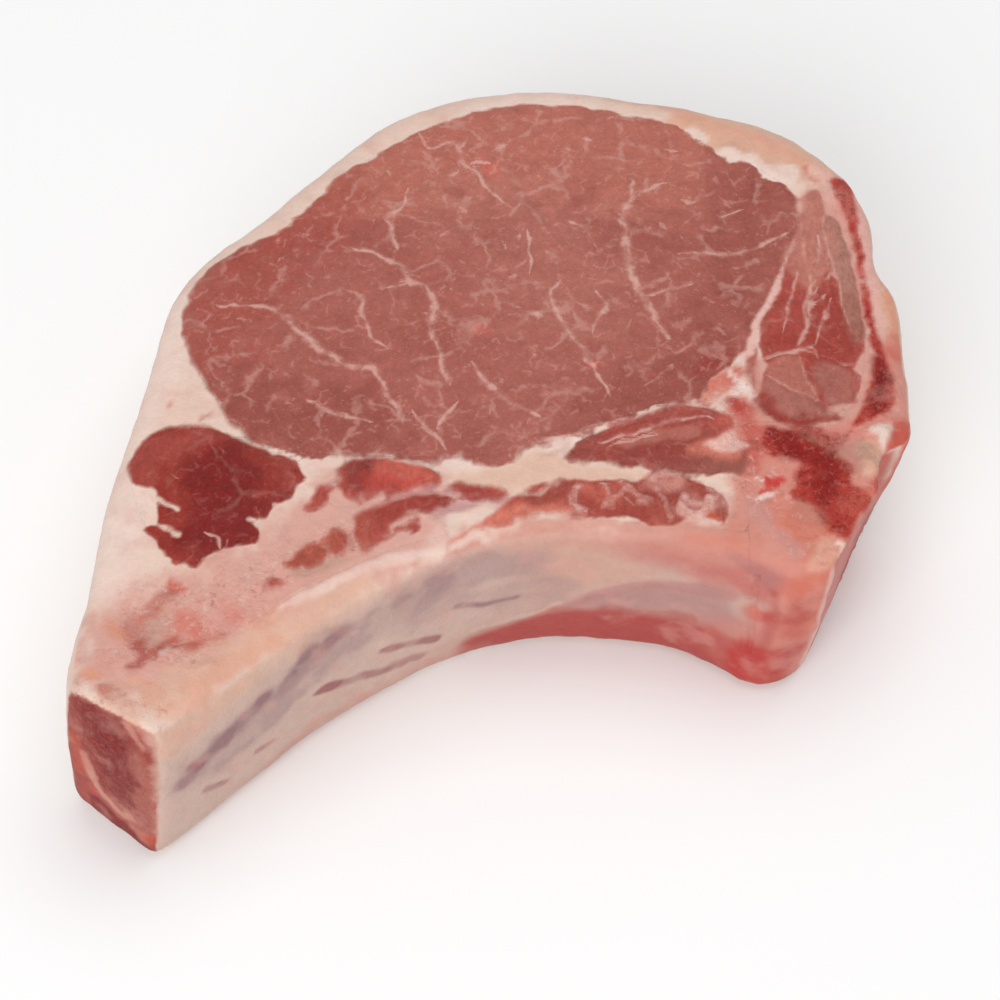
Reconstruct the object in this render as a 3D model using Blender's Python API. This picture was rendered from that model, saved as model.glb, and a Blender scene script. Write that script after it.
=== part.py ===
"""Raw bone-in pork rib chop, lying on its cut face.

The chop is one slab sawn straight through the loin: a loin eye and seven smaller muscles in a
body of fat, a curved rib along the front and the split vertebra with its feather bone on the
right. Every piece runs from the upper face to the lower one. Lengths are in millimetres until
build_mesh, which turns them into metres.
"""
import math

import bmesh
import bpy
import numpy as np
from mathutils import Vector

# Driving dimensions, in millimetres
THICKNESS = 34.0                  # between the two sawn faces
MIDDLE = (-0.5, 21.8)             # middle of the chop's box, measured from the working point
SEAM = 0.3                        # clearance between a muscle or bone and what holds it
MUSCLE_DRAW = 0.03                # share by which a muscle narrows towards the lower face
WALL_SWELL = 0.7                  # how far the outer wall stands out at half height
WALL_LEVELS = (0.3, 0.52, 0.74)   # heights of the rings between the rounded edges, as shares
FOOT_ROUND = 1.8                  # rounding of the lower edge
ROUND_TURNS = 3                   # steps in a rounded edge
ROUND_EASE = 0.8                  # how far a small rounding may grow towards a larger neighbour
OUTER_STEP = 3.2                  # spacing of points along the outer wall
INNER_STEP = 3.0                  # spacing of points along muscle walls
CURVE_STEPS = 16                  # fine steps of a curve between two of its points
CUT_PAST = 4.0                    # how far a cutter reaches past the faces it cuts
GRID = 11.0                       # spacing of the points that carry the upper face's relief
GRID_LINES = range(-7, 9)         # grid lines that cross the chop, either way
RELIEF_DEPTH = 9.0                # depth below the upper face in which the relief fades out
UPWARDS = 0.98                    # normal above which a face counts as part of the upper face
MERGE = 0.02                      # points closer than this are one
SHARP = math.radians(35)          # edges sharper than this stay sharp in the shading

# Each outline point is (x, y, dx, dy): its place at the upper face, and how far it has moved
# by the lower face. Each run of points is one smooth curve.
FAT_SIDE = [
    (-64.5, -34.5, -3, 0.2), (-65.6, -29, -1.4, 0), (-64, -19, -0.4, 0), (-62.9, -4, 0, 0),
    (-60.3, 11, 0, 0), (-56.8, 29, 0.3, 0), (-54.8, 41.5, 0.5, -0.4), (-49.4, 50.4, 0.6, -0.8),
    (-40.4, 59.6, 0.6, -0.8), (-30.4, 70.6, 0.6, -0.8), (-20, 81.4, 0.4, -1), (-7.6, 87.2, 0.2, -1),
    (8, 89.3, 0, -1), (24, 87, 0, -1), (37, 84, -0.4, -1), (50, 78.4, -0.8, -0.8),
    (59.7, 67.8, -1.4, -0.6),
]
SPINE_SIDE = [
    (59.7, 67.8, -1.4, -0.6), (61.8, 61.5, -2, 0), (63.2, 55, -2.4, 0), (62.4, 50, -2.4, 0),
    (63.6, 46.8, -2.6, 0), (65.6, 44, -2.8, 0), (66.4, 33, -3.6, 0), (66.4, 22, -5, 1),
    (65.6, 13, -6, 2),
]
CHINE_CUT = [(65.6, 13, -6, 2), (51.3, -13, -2.6, 1.6)]
RIB_SIDE = [
    (51.3, -13, -2.6, 1.6), (46, -13.4, -1, -0.6), (41, -12, 0, -2.6), (36, -9.4, 0, -2.2),
    (28, -7.4, 0, 0), (16, -6.6, 0, 1), (4, -7, 0, 1.4), (-8, -11, 0.2, 2),
    (-20, -18.2, 0.4, 2.5), (-32, -26.6, 0.4, 1.8), (-43, -36.2, -0.6, 0),
    (-50.5, -42.5, -3.6, -3.6),
]
RIB_END_CUT = [(-50.5, -42.5, -3.6, -3.6), (-64.5, -34.5, -3, 0.2)]
EDGE_ROUND = {"fat": 3.6, "spine": 1.0, "chine": 0.6, "rib": 4.2, "end": 0.7}

LOIN_EYE = [
    (-52.2, 36), (-50.3, 43.8), (-44.5, 50.2), (-36.5, 54.6), (-32.4, 59.5), (-25.5, 68),
    (-15, 76.2), (-4, 81.8), (7, 83.6), (20, 81.8), (31.5, 77.8), (37.5, 71.5), (42.5, 69.5),
    (49.8, 62.5), (48.2, 52), (43.6, 41), (39.2, 29.5), (34.4, 24.8), (29.5, 20.2), (19.5, 16.2),
    (9, 12), (-1, 8.8), (-14, 8.4), (-25, 8.8), (-34, 9.8), (-41.5, 13.8), (-46.4, 21.5),
    (-50.4, 28.8),
]
DARK_MUSCLE = [
    (-57.8, 6), (-55.4, 10.4), (-48.5, 13.6), (-42, 12.2), (-34.5, 8), (-31.8, 4), (-34.5, 0),
    (-38, -5), (-42.5, -9), (-48, -11.6), (-53, -7.6), (-56, -2),
]
BACK_MUSCLE = [
    (51.2, 56), (49.6, 49), (46.2, 40.5), (42.8, 32.5), (41, 26), (41.8, 20.6), (45.5, 16.2),
    (49.8, 16.4), (53.6, 19), (56.6, 23.6), (57.4, 29.4), (55.4, 34.5), (53.8, 41), (52.6, 49),
]
SIDE_MUSCLE = [
    (53.8, 63.4), (52.2, 58.6), (54, 50), (55.4, 41), (57.4, 34.2), (58, 40), (57.2, 48),
    (55.8, 56.5),
]
UNDER_MUSCLE = [
    (11, 9.4, 0.5, 1), (17, 12.4, 0, 0), (23, 14.9, 0, 0), (30, 16.6, 0, 0), (35, 15.4, 0, 0),
    (37, 10.5, 0, 0), (36, 6, 0, 0.8), (30, 5.8, 0, 1), (21, 7, 0, 1.2), (14, 7.8, 0, 1.2),
]
INTERCOSTAL_MUSCLE = [
    (1.5, -2.6, 2.5, 4.8), (6, 0.9, 0, 2.8), (13, 3.1, 0, 1.8), (22, 3.8, 0, 1.6), (29, 3.9, 0, 1.2),
    (34.2, 0.6, -1, 2.6), (34.6, -3.4, -1.5, 5.4), (27, -3.5, 0, 5.6), (16, -2.1, 0, 4.8),
    (7, -2.5, 0, 4.9),
]
STRAP_MUSCLE = [
    (-27.5, 0.6), (-24.4, 4.6), (-18.5, 6.2), (-12, 6.3), (-9.2, 4.8), (-12.8, 2.8), (-18.5, 1.6),
    (-23.5, -1.4),
]
RIB_MUSCLE = [
    (-23, -9), (-20.8, -4), (-15.5, -0.2), (-8.5, 1.6), (-3, 0.8), (-6.5, -1.4), (-12.5, -3.2),
    (-18, -6.8),
]
# The rib's back and the vertebra's inner side, then the way round outside the slab
RIB_BACK = [
    (38.4, -6.6, 0, 5.4), (32, -5.6, 0, 5.6), (24, -4.9, 0, 5.4), (14, -3.8, 0, 5),
    (4, -4.4, 0, 4.8), (-4, -6.2, 0, 4.4), (-14, -8.4, 0, 3.4), (-26, -14.5, 0, 2.2),
    (-38, -22.4, 0, 1.4), (-50, -26.4, -1.6, 1), (-66.5, -27.5, -3, 0.6),
]
RIB_OUTSIDE = [(-76, -34), (-54, -56), (-20, -32), (10, -18), (38.4, -22)]
BONE_INNER = [
    (38.8, -22, 0, 0), (38.8, -6, 0, 0), (38.8, 6, 0, 0), (38.6, 14.6, 0, 0), (42, 15.4, 0, 0),
    (46, 14, 0, 0), (50.6, 14.4, 0, 0), (55, 17.6, 0, 0), (58.4, 23, -0.4, 0), (59.6, 31, -0.8, 0),
    (59.4, 41, -1, 0), (58.2, 51, -1, 0), (56.4, 62.5, -1, 0), (56, 76, -1, 0),
]
BONE_OUTSIDE = [(80, 76), (80, -30), (38.8, -30)]

# The half of the spinal canal that the saw left, an upright groove in the chine
CANAL_MIDDLE = (65.6, 5.2, -5.4, 1.7)
CANAL_RADIUS = 5.6
CANAL_SIDES = 24

# Swells and dips of the upper face: (x, y, spread in x, spread in y, height)
RELIEF = [
    (-2, 46, 40, 30, 0.9),      # the loin eye stands up as it relaxes
    (-46, 3, 11, 10, 0.7),      # dark muscle
    (-50, -22, 14, 9, -1.5),    # connective tissue falls away to the rib end
    (-22, -8, 18, 6, -0.6),
    (24, 0, 14, 4, -0.8),       # hollow over the intercostal muscle
    (52, 6, 8, 9, 0.5),         # chine
    (66, 38, 4, 10, -1.6),      # tissue outside the feather bone lies lower
    (49, 36, 7, 16, -0.5),
]

MATERIALS = {
    "fat": ((0.83, 0.67, 0.58), 0.42),
    "loin_eye": ((0.44, 0.15, 0.12), 0.48),
    "dark_muscle": ((0.25, 0.035, 0.03), 0.44),
    "back_muscle": ((0.42, 0.10, 0.085), 0.46),
    "side_muscle": ((0.33, 0.15, 0.12), 0.48),
    "under_muscle": ((0.40, 0.13, 0.11), 0.46),
    "intercostal_muscle": ((0.50, 0.15, 0.11), 0.40),
    "strap_muscle": ((0.55, 0.14, 0.09), 0.40),
    "rib_muscle": ((0.36, 0.07, 0.06), 0.42),
    "rib_bone": ((0.66, 0.42, 0.36), 0.38),
    "vertebra": ((0.52, 0.12, 0.10), 0.42),
}


def clear_scene():
    for obj in list(bpy.data.objects):
        bpy.data.objects.remove(obj, do_unlink=True)


def as_rows(points):
    """Control points as an array of x, y, dx and dy, with no drift where none is given."""
    return np.array([(*p, 0.0, 0.0)[:4] for p in points])


def catmull_rom(p0, p1, p2, p3, t):
    """Point between p1 and p2, with knots spaced by the square root of distance."""
    t0 = 0.0
    t1 = t0 + math.sqrt(np.linalg.norm(p1[:2] - p0[:2]))
    t2 = t1 + math.sqrt(np.linalg.norm(p2[:2] - p1[:2]))
    t3 = t2 + math.sqrt(np.linalg.norm(p3[:2] - p2[:2]))
    t = t1 + t * (t2 - t1)
    a1 = (t1 - t) / (t1 - t0) * p0 + (t - t0) / (t1 - t0) * p1
    a2 = (t2 - t) / (t2 - t1) * p1 + (t - t1) / (t2 - t1) * p2
    a3 = (t3 - t) / (t3 - t2) * p2 + (t - t2) / (t3 - t2) * p3
    b1 = (t2 - t) / (t2 - t0) * a1 + (t - t0) / (t2 - t0) * a2
    b2 = (t3 - t) / (t3 - t1) * a2 + (t - t1) / (t3 - t1) * a3
    return (t2 - t) / (t2 - t1) * b1 + (t - t1) / (t2 - t1) * b2


def smooth_run(points, step, closed):
    """A smooth curve through the points, in steps of about one length."""
    rows = as_rows(points)
    if closed:
        padded = np.vstack([rows[-1], rows, rows[:2]])
    else:
        padded = np.vstack([2 * rows[0] - rows[1], rows, 2 * rows[-1] - rows[-2]])
    fine = []
    for i in range(len(padded) - 3):
        for k in range(CURVE_STEPS):
            fine.append(catmull_rom(*padded[i:i + 4], k / CURVE_STEPS))
    fine.append(padded[-2])
    fine = np.array(fine)
    length = np.concatenate([[0], np.cumsum(np.linalg.norm(np.diff(fine[:, :2], axis=0), axis=1))])
    count = max(2, round(length[-1] / step))
    places = np.linspace(0, length[-1], count + 1)
    even = np.stack([np.interp(places, length, fine[:, c]) for c in range(4)], axis=1)
    return even[:-1]


def outward(loop):
    """Unit normals of a counter-clockwise loop, pointing out."""
    along = np.roll(loop[:, :2], -1, axis=0) - np.roll(loop[:, :2], 1, axis=0)
    along /= np.linalg.norm(along, axis=1)[:, None]
    return np.stack([along[:, 1], -along[:, 0]], axis=1)


def counter_clockwise(loop):
    x, y = loop[:, 0], loop[:, 1]
    area = np.sum(x * np.roll(y, -1) - np.roll(x, -1) * y)
    return loop if area > 0 else loop[::-1]


def at_height(loop, height, out=0.0):
    """The loop's points at a height above the lower face, moved outwards by a distance."""
    share = 1 - np.clip(height, 0, THICKNESS) / THICKNESS
    share = np.broadcast_to(share, (len(loop),))[:, None]
    place = loop[:, :2] + loop[:, 2:4] * share + outward(loop) * np.reshape(out, (-1, 1))
    return np.column_stack([place, np.broadcast_to(height, (len(loop),))])


def relief(x, y):
    return sum(h * math.exp(-((x - cx) / sx) ** 2 - ((y - cy) / sy) ** 2)
               for cx, cy, sx, sy, h in RELIEF)


def new_object(name, bm):
    mesh = bpy.data.meshes.new(name)
    bm.to_mesh(mesh)
    bm.free()
    obj = bpy.data.objects.new(name, mesh)
    bpy.context.scene.collection.objects.link(obj)
    return obj


def stack(name, rings):
    """A closed solid from rings of points, lowest first."""
    bm = bmesh.new()
    rows = [[bm.verts.new(p) for p in ring] for ring in rings]
    for low, high in zip(rows, rows[1:]):
        for i in range(len(low)):
            j = (i + 1) % len(low)
            bm.faces.new((low[i], low[j], high[j], high[i]))
    bm.faces.new(rows[0][::-1])
    bm.faces.new(rows[-1])
    return new_object(name, bm)


def slab_outline():
    """The chop's outer wall and the rounding of its upper edge, point by point."""
    runs = [("fat", FAT_SIDE), ("spine", SPINE_SIDE), ("chine", CHINE_CUT), ("rib", RIB_SIDE),
            ("end", RIB_END_CUT)]
    parts = []
    rounds = []
    for side, points in runs:
        part = smooth_run(points, OUTER_STEP, closed=False)
        parts.append(part)
        rounds.append(np.full(len(part), EDGE_ROUND[side]))
    loop = np.vstack(parts)[::-1]
    radius = np.concatenate(rounds)[::-1]
    eased = radius.copy()
    for _ in range(2):
        eased = (np.roll(eased, 1) + 2 * eased + np.roll(eased, -1)) / 4
    return loop, np.minimum(eased, radius + ROUND_EASE)


def make_slab():
    """The whole chop before it is parted into its pieces."""
    loop, radius = slab_outline()
    foot = np.minimum(radius, FOOT_ROUND)
    rings = []
    for k in range(ROUND_TURNS + 1):
        turn = math.pi / 2 * k / ROUND_TURNS
        rings.append(at_height(loop, foot * (1 - math.sin(turn)), -foot * (1 - math.cos(turn))))
    rings = rings[::-1]
    for share in WALL_LEVELS:
        swell = WALL_SWELL * math.sin(math.pi * share) * np.minimum(radius, 1.0)
        rings.append(at_height(loop, foot + (THICKNESS - radius - foot) * share, swell))
    for k in range(ROUND_TURNS + 1):
        turn = math.pi / 2 * k / ROUND_TURNS
        rings.append(at_height(loop, THICKNESS - radius * (1 - math.sin(turn)),
                               -radius * (1 - math.cos(turn))))
    return stack("slab", rings)


def upright(loop, out=0.0):
    """A prism on a loop, widened by a distance, that reaches past both faces of the slab."""
    rings = [at_height(loop, 0.0, out), at_height(loop, THICKNESS / 2, out),
             at_height(loop, THICKNESS, out)]
    rings[0][:, 2] -= CUT_PAST
    rings[-1][:, 2] += CUT_PAST
    return stack("cutter", rings)


def muscle_loop(points):
    """A muscle's wall; where no drift is given it draws in a little towards the lower face."""
    rows = as_rows(points)
    if not rows[:, 2:].any():
        rows[:, 2:] = (rows[:, :2].mean(axis=0) - rows[:, :2]) * MUSCLE_DRAW
    return counter_clockwise(smooth_run(rows, INNER_STEP, closed=True))


def region_loop(inner, outside):
    """A region with one shaped side; the rest runs round outside the slab."""
    loop = np.vstack([smooth_run(inner, INNER_STEP, closed=False), as_rows(inner)[-1:],
                      as_rows(outside)])
    return counter_clockwise(loop)


def canal_loop():
    """The spinal canal's round wall, leaning with the chine."""
    x, y, dx, dy = CANAL_MIDDLE
    turns = [2 * math.pi * k / CANAL_SIDES for k in range(CANAL_SIDES)]
    return as_rows([(x + CANAL_RADIUS * math.cos(t), y + CANAL_RADIUS * math.sin(t), dx, dy)
                    for t in turns])


def boolean(obj, other, operation):
    """Apply an exact Boolean and drop the cutter."""
    mod = obj.modifiers.new("cut", "BOOLEAN")
    mod.operation = operation
    mod.solver = "EXACT"
    mod.object = other
    bpy.context.view_layer.update()
    graph = bpy.context.evaluated_depsgraph_get()
    mesh = bpy.data.meshes.new_from_object(obj.evaluated_get(graph))
    obj.modifiers.clear()
    old = obj.data
    obj.data = mesh
    bpy.data.meshes.remove(old)
    bpy.data.objects.remove(other, do_unlink=True)


def copy_of(obj, name):
    twin = obj.copy()
    twin.data = obj.data.copy()
    twin.name = name
    bpy.context.scene.collection.objects.link(twin)
    return twin


def lay_relief(bm):
    """Cut the upper face into a grid and raise or lower its points."""
    for across in (Vector((1, 0, 0)), Vector((0, 1, 0))):
        for line in GRID_LINES:
            top = [f for f in bm.faces if f.normal.z > UPWARDS]
            edges = list({e for f in top for e in f.edges})
            verts = list({v for f in top for v in f.verts})
            bmesh.ops.bisect_plane(bm, geom=verts + edges + top, plane_co=across * line * GRID,
                                   plane_no=across, dist=MERGE)
    for v in bm.verts:
        share = min(1.0, max(0.0, (v.co.z - THICKNESS + RELIEF_DEPTH) / RELIEF_DEPTH))
        v.co.z += relief(v.co.x, v.co.y) * share * share * (3 - 2 * share)


def build_mesh(obj, color, roughness):
    """Finish a piece: relief, metres, origin at the middle of the lower face, material."""
    bm = bmesh.new()
    bm.from_mesh(obj.data)
    bmesh.ops.remove_doubles(bm, verts=bm.verts, dist=MERGE)
    bmesh.ops.dissolve_degenerate(bm, edges=bm.edges, dist=MERGE)
    bm.normal_update()
    lay_relief(bm)
    for v in bm.verts:
        v.co = Vector((v.co.x - MIDDLE[0], v.co.y - MIDDLE[1], v.co.z)) / 1000
    bmesh.ops.triangulate(bm, faces=bm.faces)
    bmesh.ops.recalc_face_normals(bm, faces=bm.faces)
    bm.to_mesh(obj.data)
    bm.free()
    material = bpy.data.materials.new(obj.name)
    material.use_nodes = True
    shader = material.node_tree.nodes["Principled BSDF"]
    shader.inputs["Base Color"].default_value = (*color, 1.0)
    shader.inputs["Roughness"].default_value = roughness
    shader.inputs["Metallic"].default_value = 0.0
    obj.data.materials.clear()
    obj.data.materials.append(material)
    obj.data.shade_smooth()
    obj.data.set_sharp_from_angle(angle=SHARP)


def make_muscles(slab):
    """The muscles, and the loops of the pockets that the fat leaves for them."""
    outlines = {
        "loin_eye": LOIN_EYE, "dark_muscle": DARK_MUSCLE, "back_muscle": BACK_MUSCLE,
        "side_muscle": SIDE_MUSCLE, "under_muscle": UNDER_MUSCLE,
        "intercostal_muscle": INTERCOSTAL_MUSCLE, "strap_muscle": STRAP_MUSCLE,
        "rib_muscle": RIB_MUSCLE,
    }
    pieces = {}
    loops = {}
    for name, points in outlines.items():
        loops[name] = muscle_loop(points)
        pieces[name] = copy_of(slab, name)
        boolean(pieces[name], upright(loops[name]), "INTERSECT")
    return pieces, loops


def make_bones(slab):
    loops = {
        "vertebra": region_loop(BONE_INNER, BONE_OUTSIDE),
        "rib_bone": region_loop(RIB_BACK, RIB_OUTSIDE),
    }
    pieces = {}
    for name, loop in loops.items():
        pieces[name] = copy_of(slab, name)
        boolean(pieces[name], upright(loop), "INTERSECT")
    boolean(pieces["vertebra"], upright(canal_loop()), "DIFFERENCE")
    return pieces, loops


def main():
    clear_scene()
    slab = make_slab()
    muscles, muscle_loops = make_muscles(slab)
    bones, bone_loops = make_bones(slab)
    slab.name = "fat"
    for loop in [*bone_loops.values(), *muscle_loops.values()]:
        boolean(slab, upright(loop, out=SEAM), "DIFFERENCE")
    for name, piece in {"fat": slab, **muscles, **bones}.items():
        build_mesh(piece, *MATERIALS[name])


main()
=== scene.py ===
import itertools
import math

import bmesh
import bpy
import numpy as np
from mathutils import Matrix, Vector
from mathutils.bvhtree import BVHTree


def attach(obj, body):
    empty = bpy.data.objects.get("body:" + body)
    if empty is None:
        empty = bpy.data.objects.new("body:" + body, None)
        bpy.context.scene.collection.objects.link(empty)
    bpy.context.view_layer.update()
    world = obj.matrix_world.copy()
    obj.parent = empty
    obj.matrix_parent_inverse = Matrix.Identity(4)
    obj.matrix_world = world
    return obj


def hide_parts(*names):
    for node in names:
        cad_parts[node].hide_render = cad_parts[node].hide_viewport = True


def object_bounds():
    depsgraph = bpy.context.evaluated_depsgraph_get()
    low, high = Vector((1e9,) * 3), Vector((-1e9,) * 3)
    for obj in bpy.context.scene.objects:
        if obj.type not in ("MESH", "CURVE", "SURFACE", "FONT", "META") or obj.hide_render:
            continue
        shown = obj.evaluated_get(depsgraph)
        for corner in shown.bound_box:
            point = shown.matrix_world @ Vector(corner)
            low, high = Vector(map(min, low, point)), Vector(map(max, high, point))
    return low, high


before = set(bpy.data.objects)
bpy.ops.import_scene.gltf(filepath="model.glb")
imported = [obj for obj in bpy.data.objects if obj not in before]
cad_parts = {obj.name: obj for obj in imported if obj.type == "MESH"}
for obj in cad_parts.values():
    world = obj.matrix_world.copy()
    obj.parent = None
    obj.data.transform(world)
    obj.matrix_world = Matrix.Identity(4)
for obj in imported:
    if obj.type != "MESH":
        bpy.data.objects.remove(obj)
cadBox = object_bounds()

chop = {
    "workPoint": (0.5, -21.8),   # its place in the frame
    "seed": 11,
    "gloss": 0.022,              # what the wet gloss adds to a colour
    "sway": 0.40,                # how far strokes and outlines are shaken
    "faceSway": 2.6,             # how long the shakes are on the cut faces
    "wallSway": 3.4,             # and on the walls
    "underWarp": 3.2,            # how far the marks on the lower face stray from those on the upper one
    "underSway": 24,             # and how long their bends are
    "seamReach": 1.0,            # a wall this near to another piece's wall is an inner wall
    "seamGrow": 0.5,             # how far a piece runs into its neighbours
    "seamDip": 0.3,              # how far it sinks below them there
    "bodyVoxel": 0.8,            # the body is the smooth skin round all the pieces together
    "bodyTurns": 26,             # rounds of smoothing
    "skinReach": 2.2,            # points nearer to the body's skin than this are drawn to it
    "skinHold": 0.6,             # and those nearer than this share of it lie on it
    "bodyPull": 0.5,             # how far a point moves in one round
    "sharp": 0.04,               # the share of that pull left along the saw cuts
    "cutReach": (1.2, 4.0),      # from the cuts, where the pull begins and where it is whole again
    "tableReach": (2.5, 0.5),    # from the table, the same
    "tablePull": 0.5,            # its share there
    "endCut": ((-64.5, -34.5), (-50.5, -42.5)),   # the sawn rib end
    "chineCut": ((65.6, 13.0), (51.3, -13.0)),    # the sawn side of the backbone
    "softCorner": 0.28,          # share of the rib end whose front corner is rounded off
}
sides = {                        # where one side of the chop gives way to the next
    "endFacing": (0.66, 0.86),   # how squarely a surface faces out of its own cut
    "sideFacing": (0.72, 0.93),
    "faceFacing": (0.30, 0.75),  # how flat it lies
    "frontFacing": (-0.1, -0.4),
    "endCorner": (-44, -24),     # the rib end lies left of this and before it
    "sideFrom": 42,              # the sawn side of the backbone lies right of this
    "sideBack": (15.5, 12.0),    # and before these
    "frontBack": (2, -2),
}
brush = {                        # how strokes stray: size, seed, octaves and stretch of each noise
    "wobble": (2.4, 40, 3),
    "straggle": (5.0, 44, 3, (2.4, 1, 1)),   # along the front wall
    "blotch": (3.4, 46, 3, (1.5, 1, 1)),
    "front": (0.6, 0.7),         # a front stroke's least strength, and what the blotches add to it
    "lineShake": 0.45,           # as a share of a stroke's softness
    "areaShake": 0.6,
    "thinEnd": 0.45,             # width of a vein's ends as a share of its middle
}
perMetre = 1000.0
farAway = 99.0
tiny = 1e-9
mergeGap = 0.01                  # a CAD node's loose corners nearer than this are one
wallReach = 2.0                  # other pieces' walls are felt from here
fieldReach = 9.0                 # strokes are measured out to here
midHeight = (cadBox[0].z + cadBox[1].z) / 2 * perMetre

palette = {
    "fat": (226, 198, 184), "cream": (231, 207, 196), "peach": (217, 172, 150),
    "fatPink": (214, 158, 146), "rose": (207, 148, 136), "orange": (219, 148, 118),
    "tan": (190, 150, 134), "rust": (172, 88, 74), "coral": (204, 104, 90), "blood": (196, 34, 34),
    "white": (236, 214, 205), "vein": (214, 166, 155), "blush": (226, 180, 170),
    "lilac": (196, 150, 148), "ridge": (203, 145, 131), "buff": (217, 176, 155), "lean": (168, 99, 89),
    "leanWarm": (184, 113, 99), "leanDeep": (150, 82, 74), "leanRim": (161, 80, 70),
    "leanRed": (168, 80, 72), "leanPink": (186, 122, 108), "leanGrey": (172, 120, 108),
    "leanBrown": (154, 96, 84), "dark": (148, 61, 54), "darkDeep": (122, 44, 40),
    "darkRim": (166, 82, 74), "wallPale": (207, 178, 165), "membrane": (192, 160, 149),
    "blueGrey": (174, 144, 141), "lens": (178, 138, 132), "purple": (144, 106, 112),
    "plum": (150, 88, 92), "mauve": (176, 118, 116), "wallRed": (172, 82, 78),
    "wallPink": (192, 110, 102), "wallTan": (203, 160, 144), "gristle": (210, 138, 124),
    "salmon": (206, 120, 102), "marrow": (186, 68, 60), "marrowDeep": (142, 44, 42),
    "marrowPale": (212, 128, 116), "slate": (164, 124, 110), "sawn": (198, 116, 110),
    "sawnRed": (190, 84, 72), "endRed": (152, 72, 64), "endDark": (124, 40, 36),
    "endPale": (198, 136, 122), "ember": (196, 90, 68), "clot": (126, 12, 10),
}


def linear(name):                # a palette colour as linear light
    parts = np.array(palette[name]) / 255.0
    light = np.where(parts <= 0.04045, parts / 12.92, ((parts + 0.055) / 1.055) ** 2.4)
    return np.clip(light - chop["gloss"], 0.003, 1)


def ease(low, high, value):      # smooth step from 0 at low to 1 at high
    share = np.clip((value - low) / (high - low), 0, 1)
    return share * share * (3 - 2 * share)


def lattice(points, size, seed):  # one octave of smooth noise, from -1 to 1
    scaled = points / size + 31.7
    cell = np.floor(scaled).astype(np.int64)
    share = scaled - cell
    share = share * share * (3 - 2 * share)
    total = np.zeros(len(points))
    for corner in itertools.product((0, 1), repeat=3):
        at = cell + corner
        mixed = at[:, 0] * 73856093 ^ at[:, 1] * 19349663 ^ at[:, 2] * 83492791 ^ seed * 2654435761
        mixed = (mixed ^ mixed >> 13) * 1274126177 & 0x7fffffff
        value = ((mixed ^ mixed >> 15) & 0xffff) / 0x7fff - 1
        total += value * np.prod(np.where(corner, share, 1 - share), axis=1)
    return total


def cloud(points, size, seed, octaves=2, stretch=(1, 1, 1)):
    points = points / np.array(stretch)
    seed += chop["seed"]
    return sum(lattice(points, size / 2 ** turn, seed + turn) / 2 ** turn for turn in range(octaves))


def smoothLine(points, closed=False, steps=4):   # a Catmull-Rom curve through points
    points = [np.array(point, float) for point in points]
    if len(points) < 3:
        return np.array(points)
    if closed:
        points = [points[-1], *points, points[0], points[1]]
    else:
        points = [2 * points[0] - points[1], *points, 2 * points[-1] - points[-2]]
    line = []
    for a, b, c, d in zip(points, points[1:], points[2:], points[3:]):
        for step in range(steps):
            t = step / steps
            line.append(0.5 * (2 * b + (c - a) * t + (2 * a - 5 * b + 4 * c - d) * t ** 2
                               + (3 * b - a - 3 * c + d) * t ** 3))
    line.append(points[-2])
    return np.array(line)


def closeTo(flat, corners, reach=fieldReach):    # which points are worth measuring
    return np.nonzero(((flat > corners.min(0) - reach) & (flat < corners.max(0) + reach)).all(1))[0]


def trace(flat, line):           # distance to a stroke, the same signed by side, and the share along it
    line = smoothLine(line)
    if len(line) == 1:
        line = np.array([line[0], line[0] + (0.01, 0)])
    reach = np.full(len(flat), farAway)
    side = np.full(len(flat), farAway)
    share = np.zeros(len(flat))
    near = closeTo(flat, line)
    spots = flat[near]
    best, bestSide, bestShare = reach[near], side[near], share[near]
    for index, (start, end) in enumerate(zip(line, line[1:])):
        run = end - start
        offset = spots - start
        along = np.clip(offset @ run / (run @ run), 0, 1)
        gap = offset - along[:, None] * run
        far = np.hypot(gap[:, 0], gap[:, 1])
        closer = far < best
        cross = run[0] * offset[:, 1] - run[1] * offset[:, 0]
        best = np.where(closer, far, best)
        bestSide = np.where(closer, np.copysign(far, cross), bestSide)
        bestShare = np.where(closer, (index + along) / (len(line) - 1), bestShare)
    reach[near], side[near], share[near] = best, bestSide, bestShare
    return reach, side, share


def depthInside(flat, starts, ends):   # distance to a closed outline, positive inside it
    depth = np.full(len(flat), -fieldReach)
    near = closeTo(flat, starts)
    spots = flat[near]
    best = np.full(len(spots), fieldReach)
    crossings = np.zeros(len(spots), int)
    for start, end in zip(starts, ends):
        run = end - start
        offset = spots - start
        along = np.clip(offset @ run / max(run @ run, tiny), 0, 1)
        gap = offset - along[:, None] * run
        best = np.minimum(best, np.hypot(gap[:, 0], gap[:, 1]))
        spans = (start[1] > spots[:, 1]) != (end[1] > spots[:, 1])
        rise = run[1] if abs(run[1]) > tiny else tiny
        crossings += spans & (spots[:, 0] < start[0] + (spots[:, 1] - start[1]) * run[0] / rise)
    depth[near] = np.where(crossings % 2 == 1, best, -best)
    return depth


def areaDepth(flat, outline):
    line = smoothLine(outline, closed=True)
    return depthInside(flat, line[:-1], line[1:])


toPlan = Matrix.Translation([-place for place in chop["workPoint"]] + [0]) @ Matrix.Scale(perMetre, 4)


def nodeMesh(node):              # a merged copy of a CAD node, in millimetres from the working point
    bm = bmesh.new()
    bm.from_mesh(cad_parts[node].data)
    bmesh.ops.transform(bm, matrix=toPlan, verts=bm.verts)
    bmesh.ops.remove_doubles(bm, verts=bm.verts, dist=mergeGap)
    bm.normal_update()
    return bm


def addTo(whole, bm):            # puts one bmesh's faces into another
    mesh = bpy.data.meshes.new("share")
    bm.to_mesh(mesh)
    bm.free()
    whole.from_mesh(mesh)
    bpy.data.meshes.remove(mesh)


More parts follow.
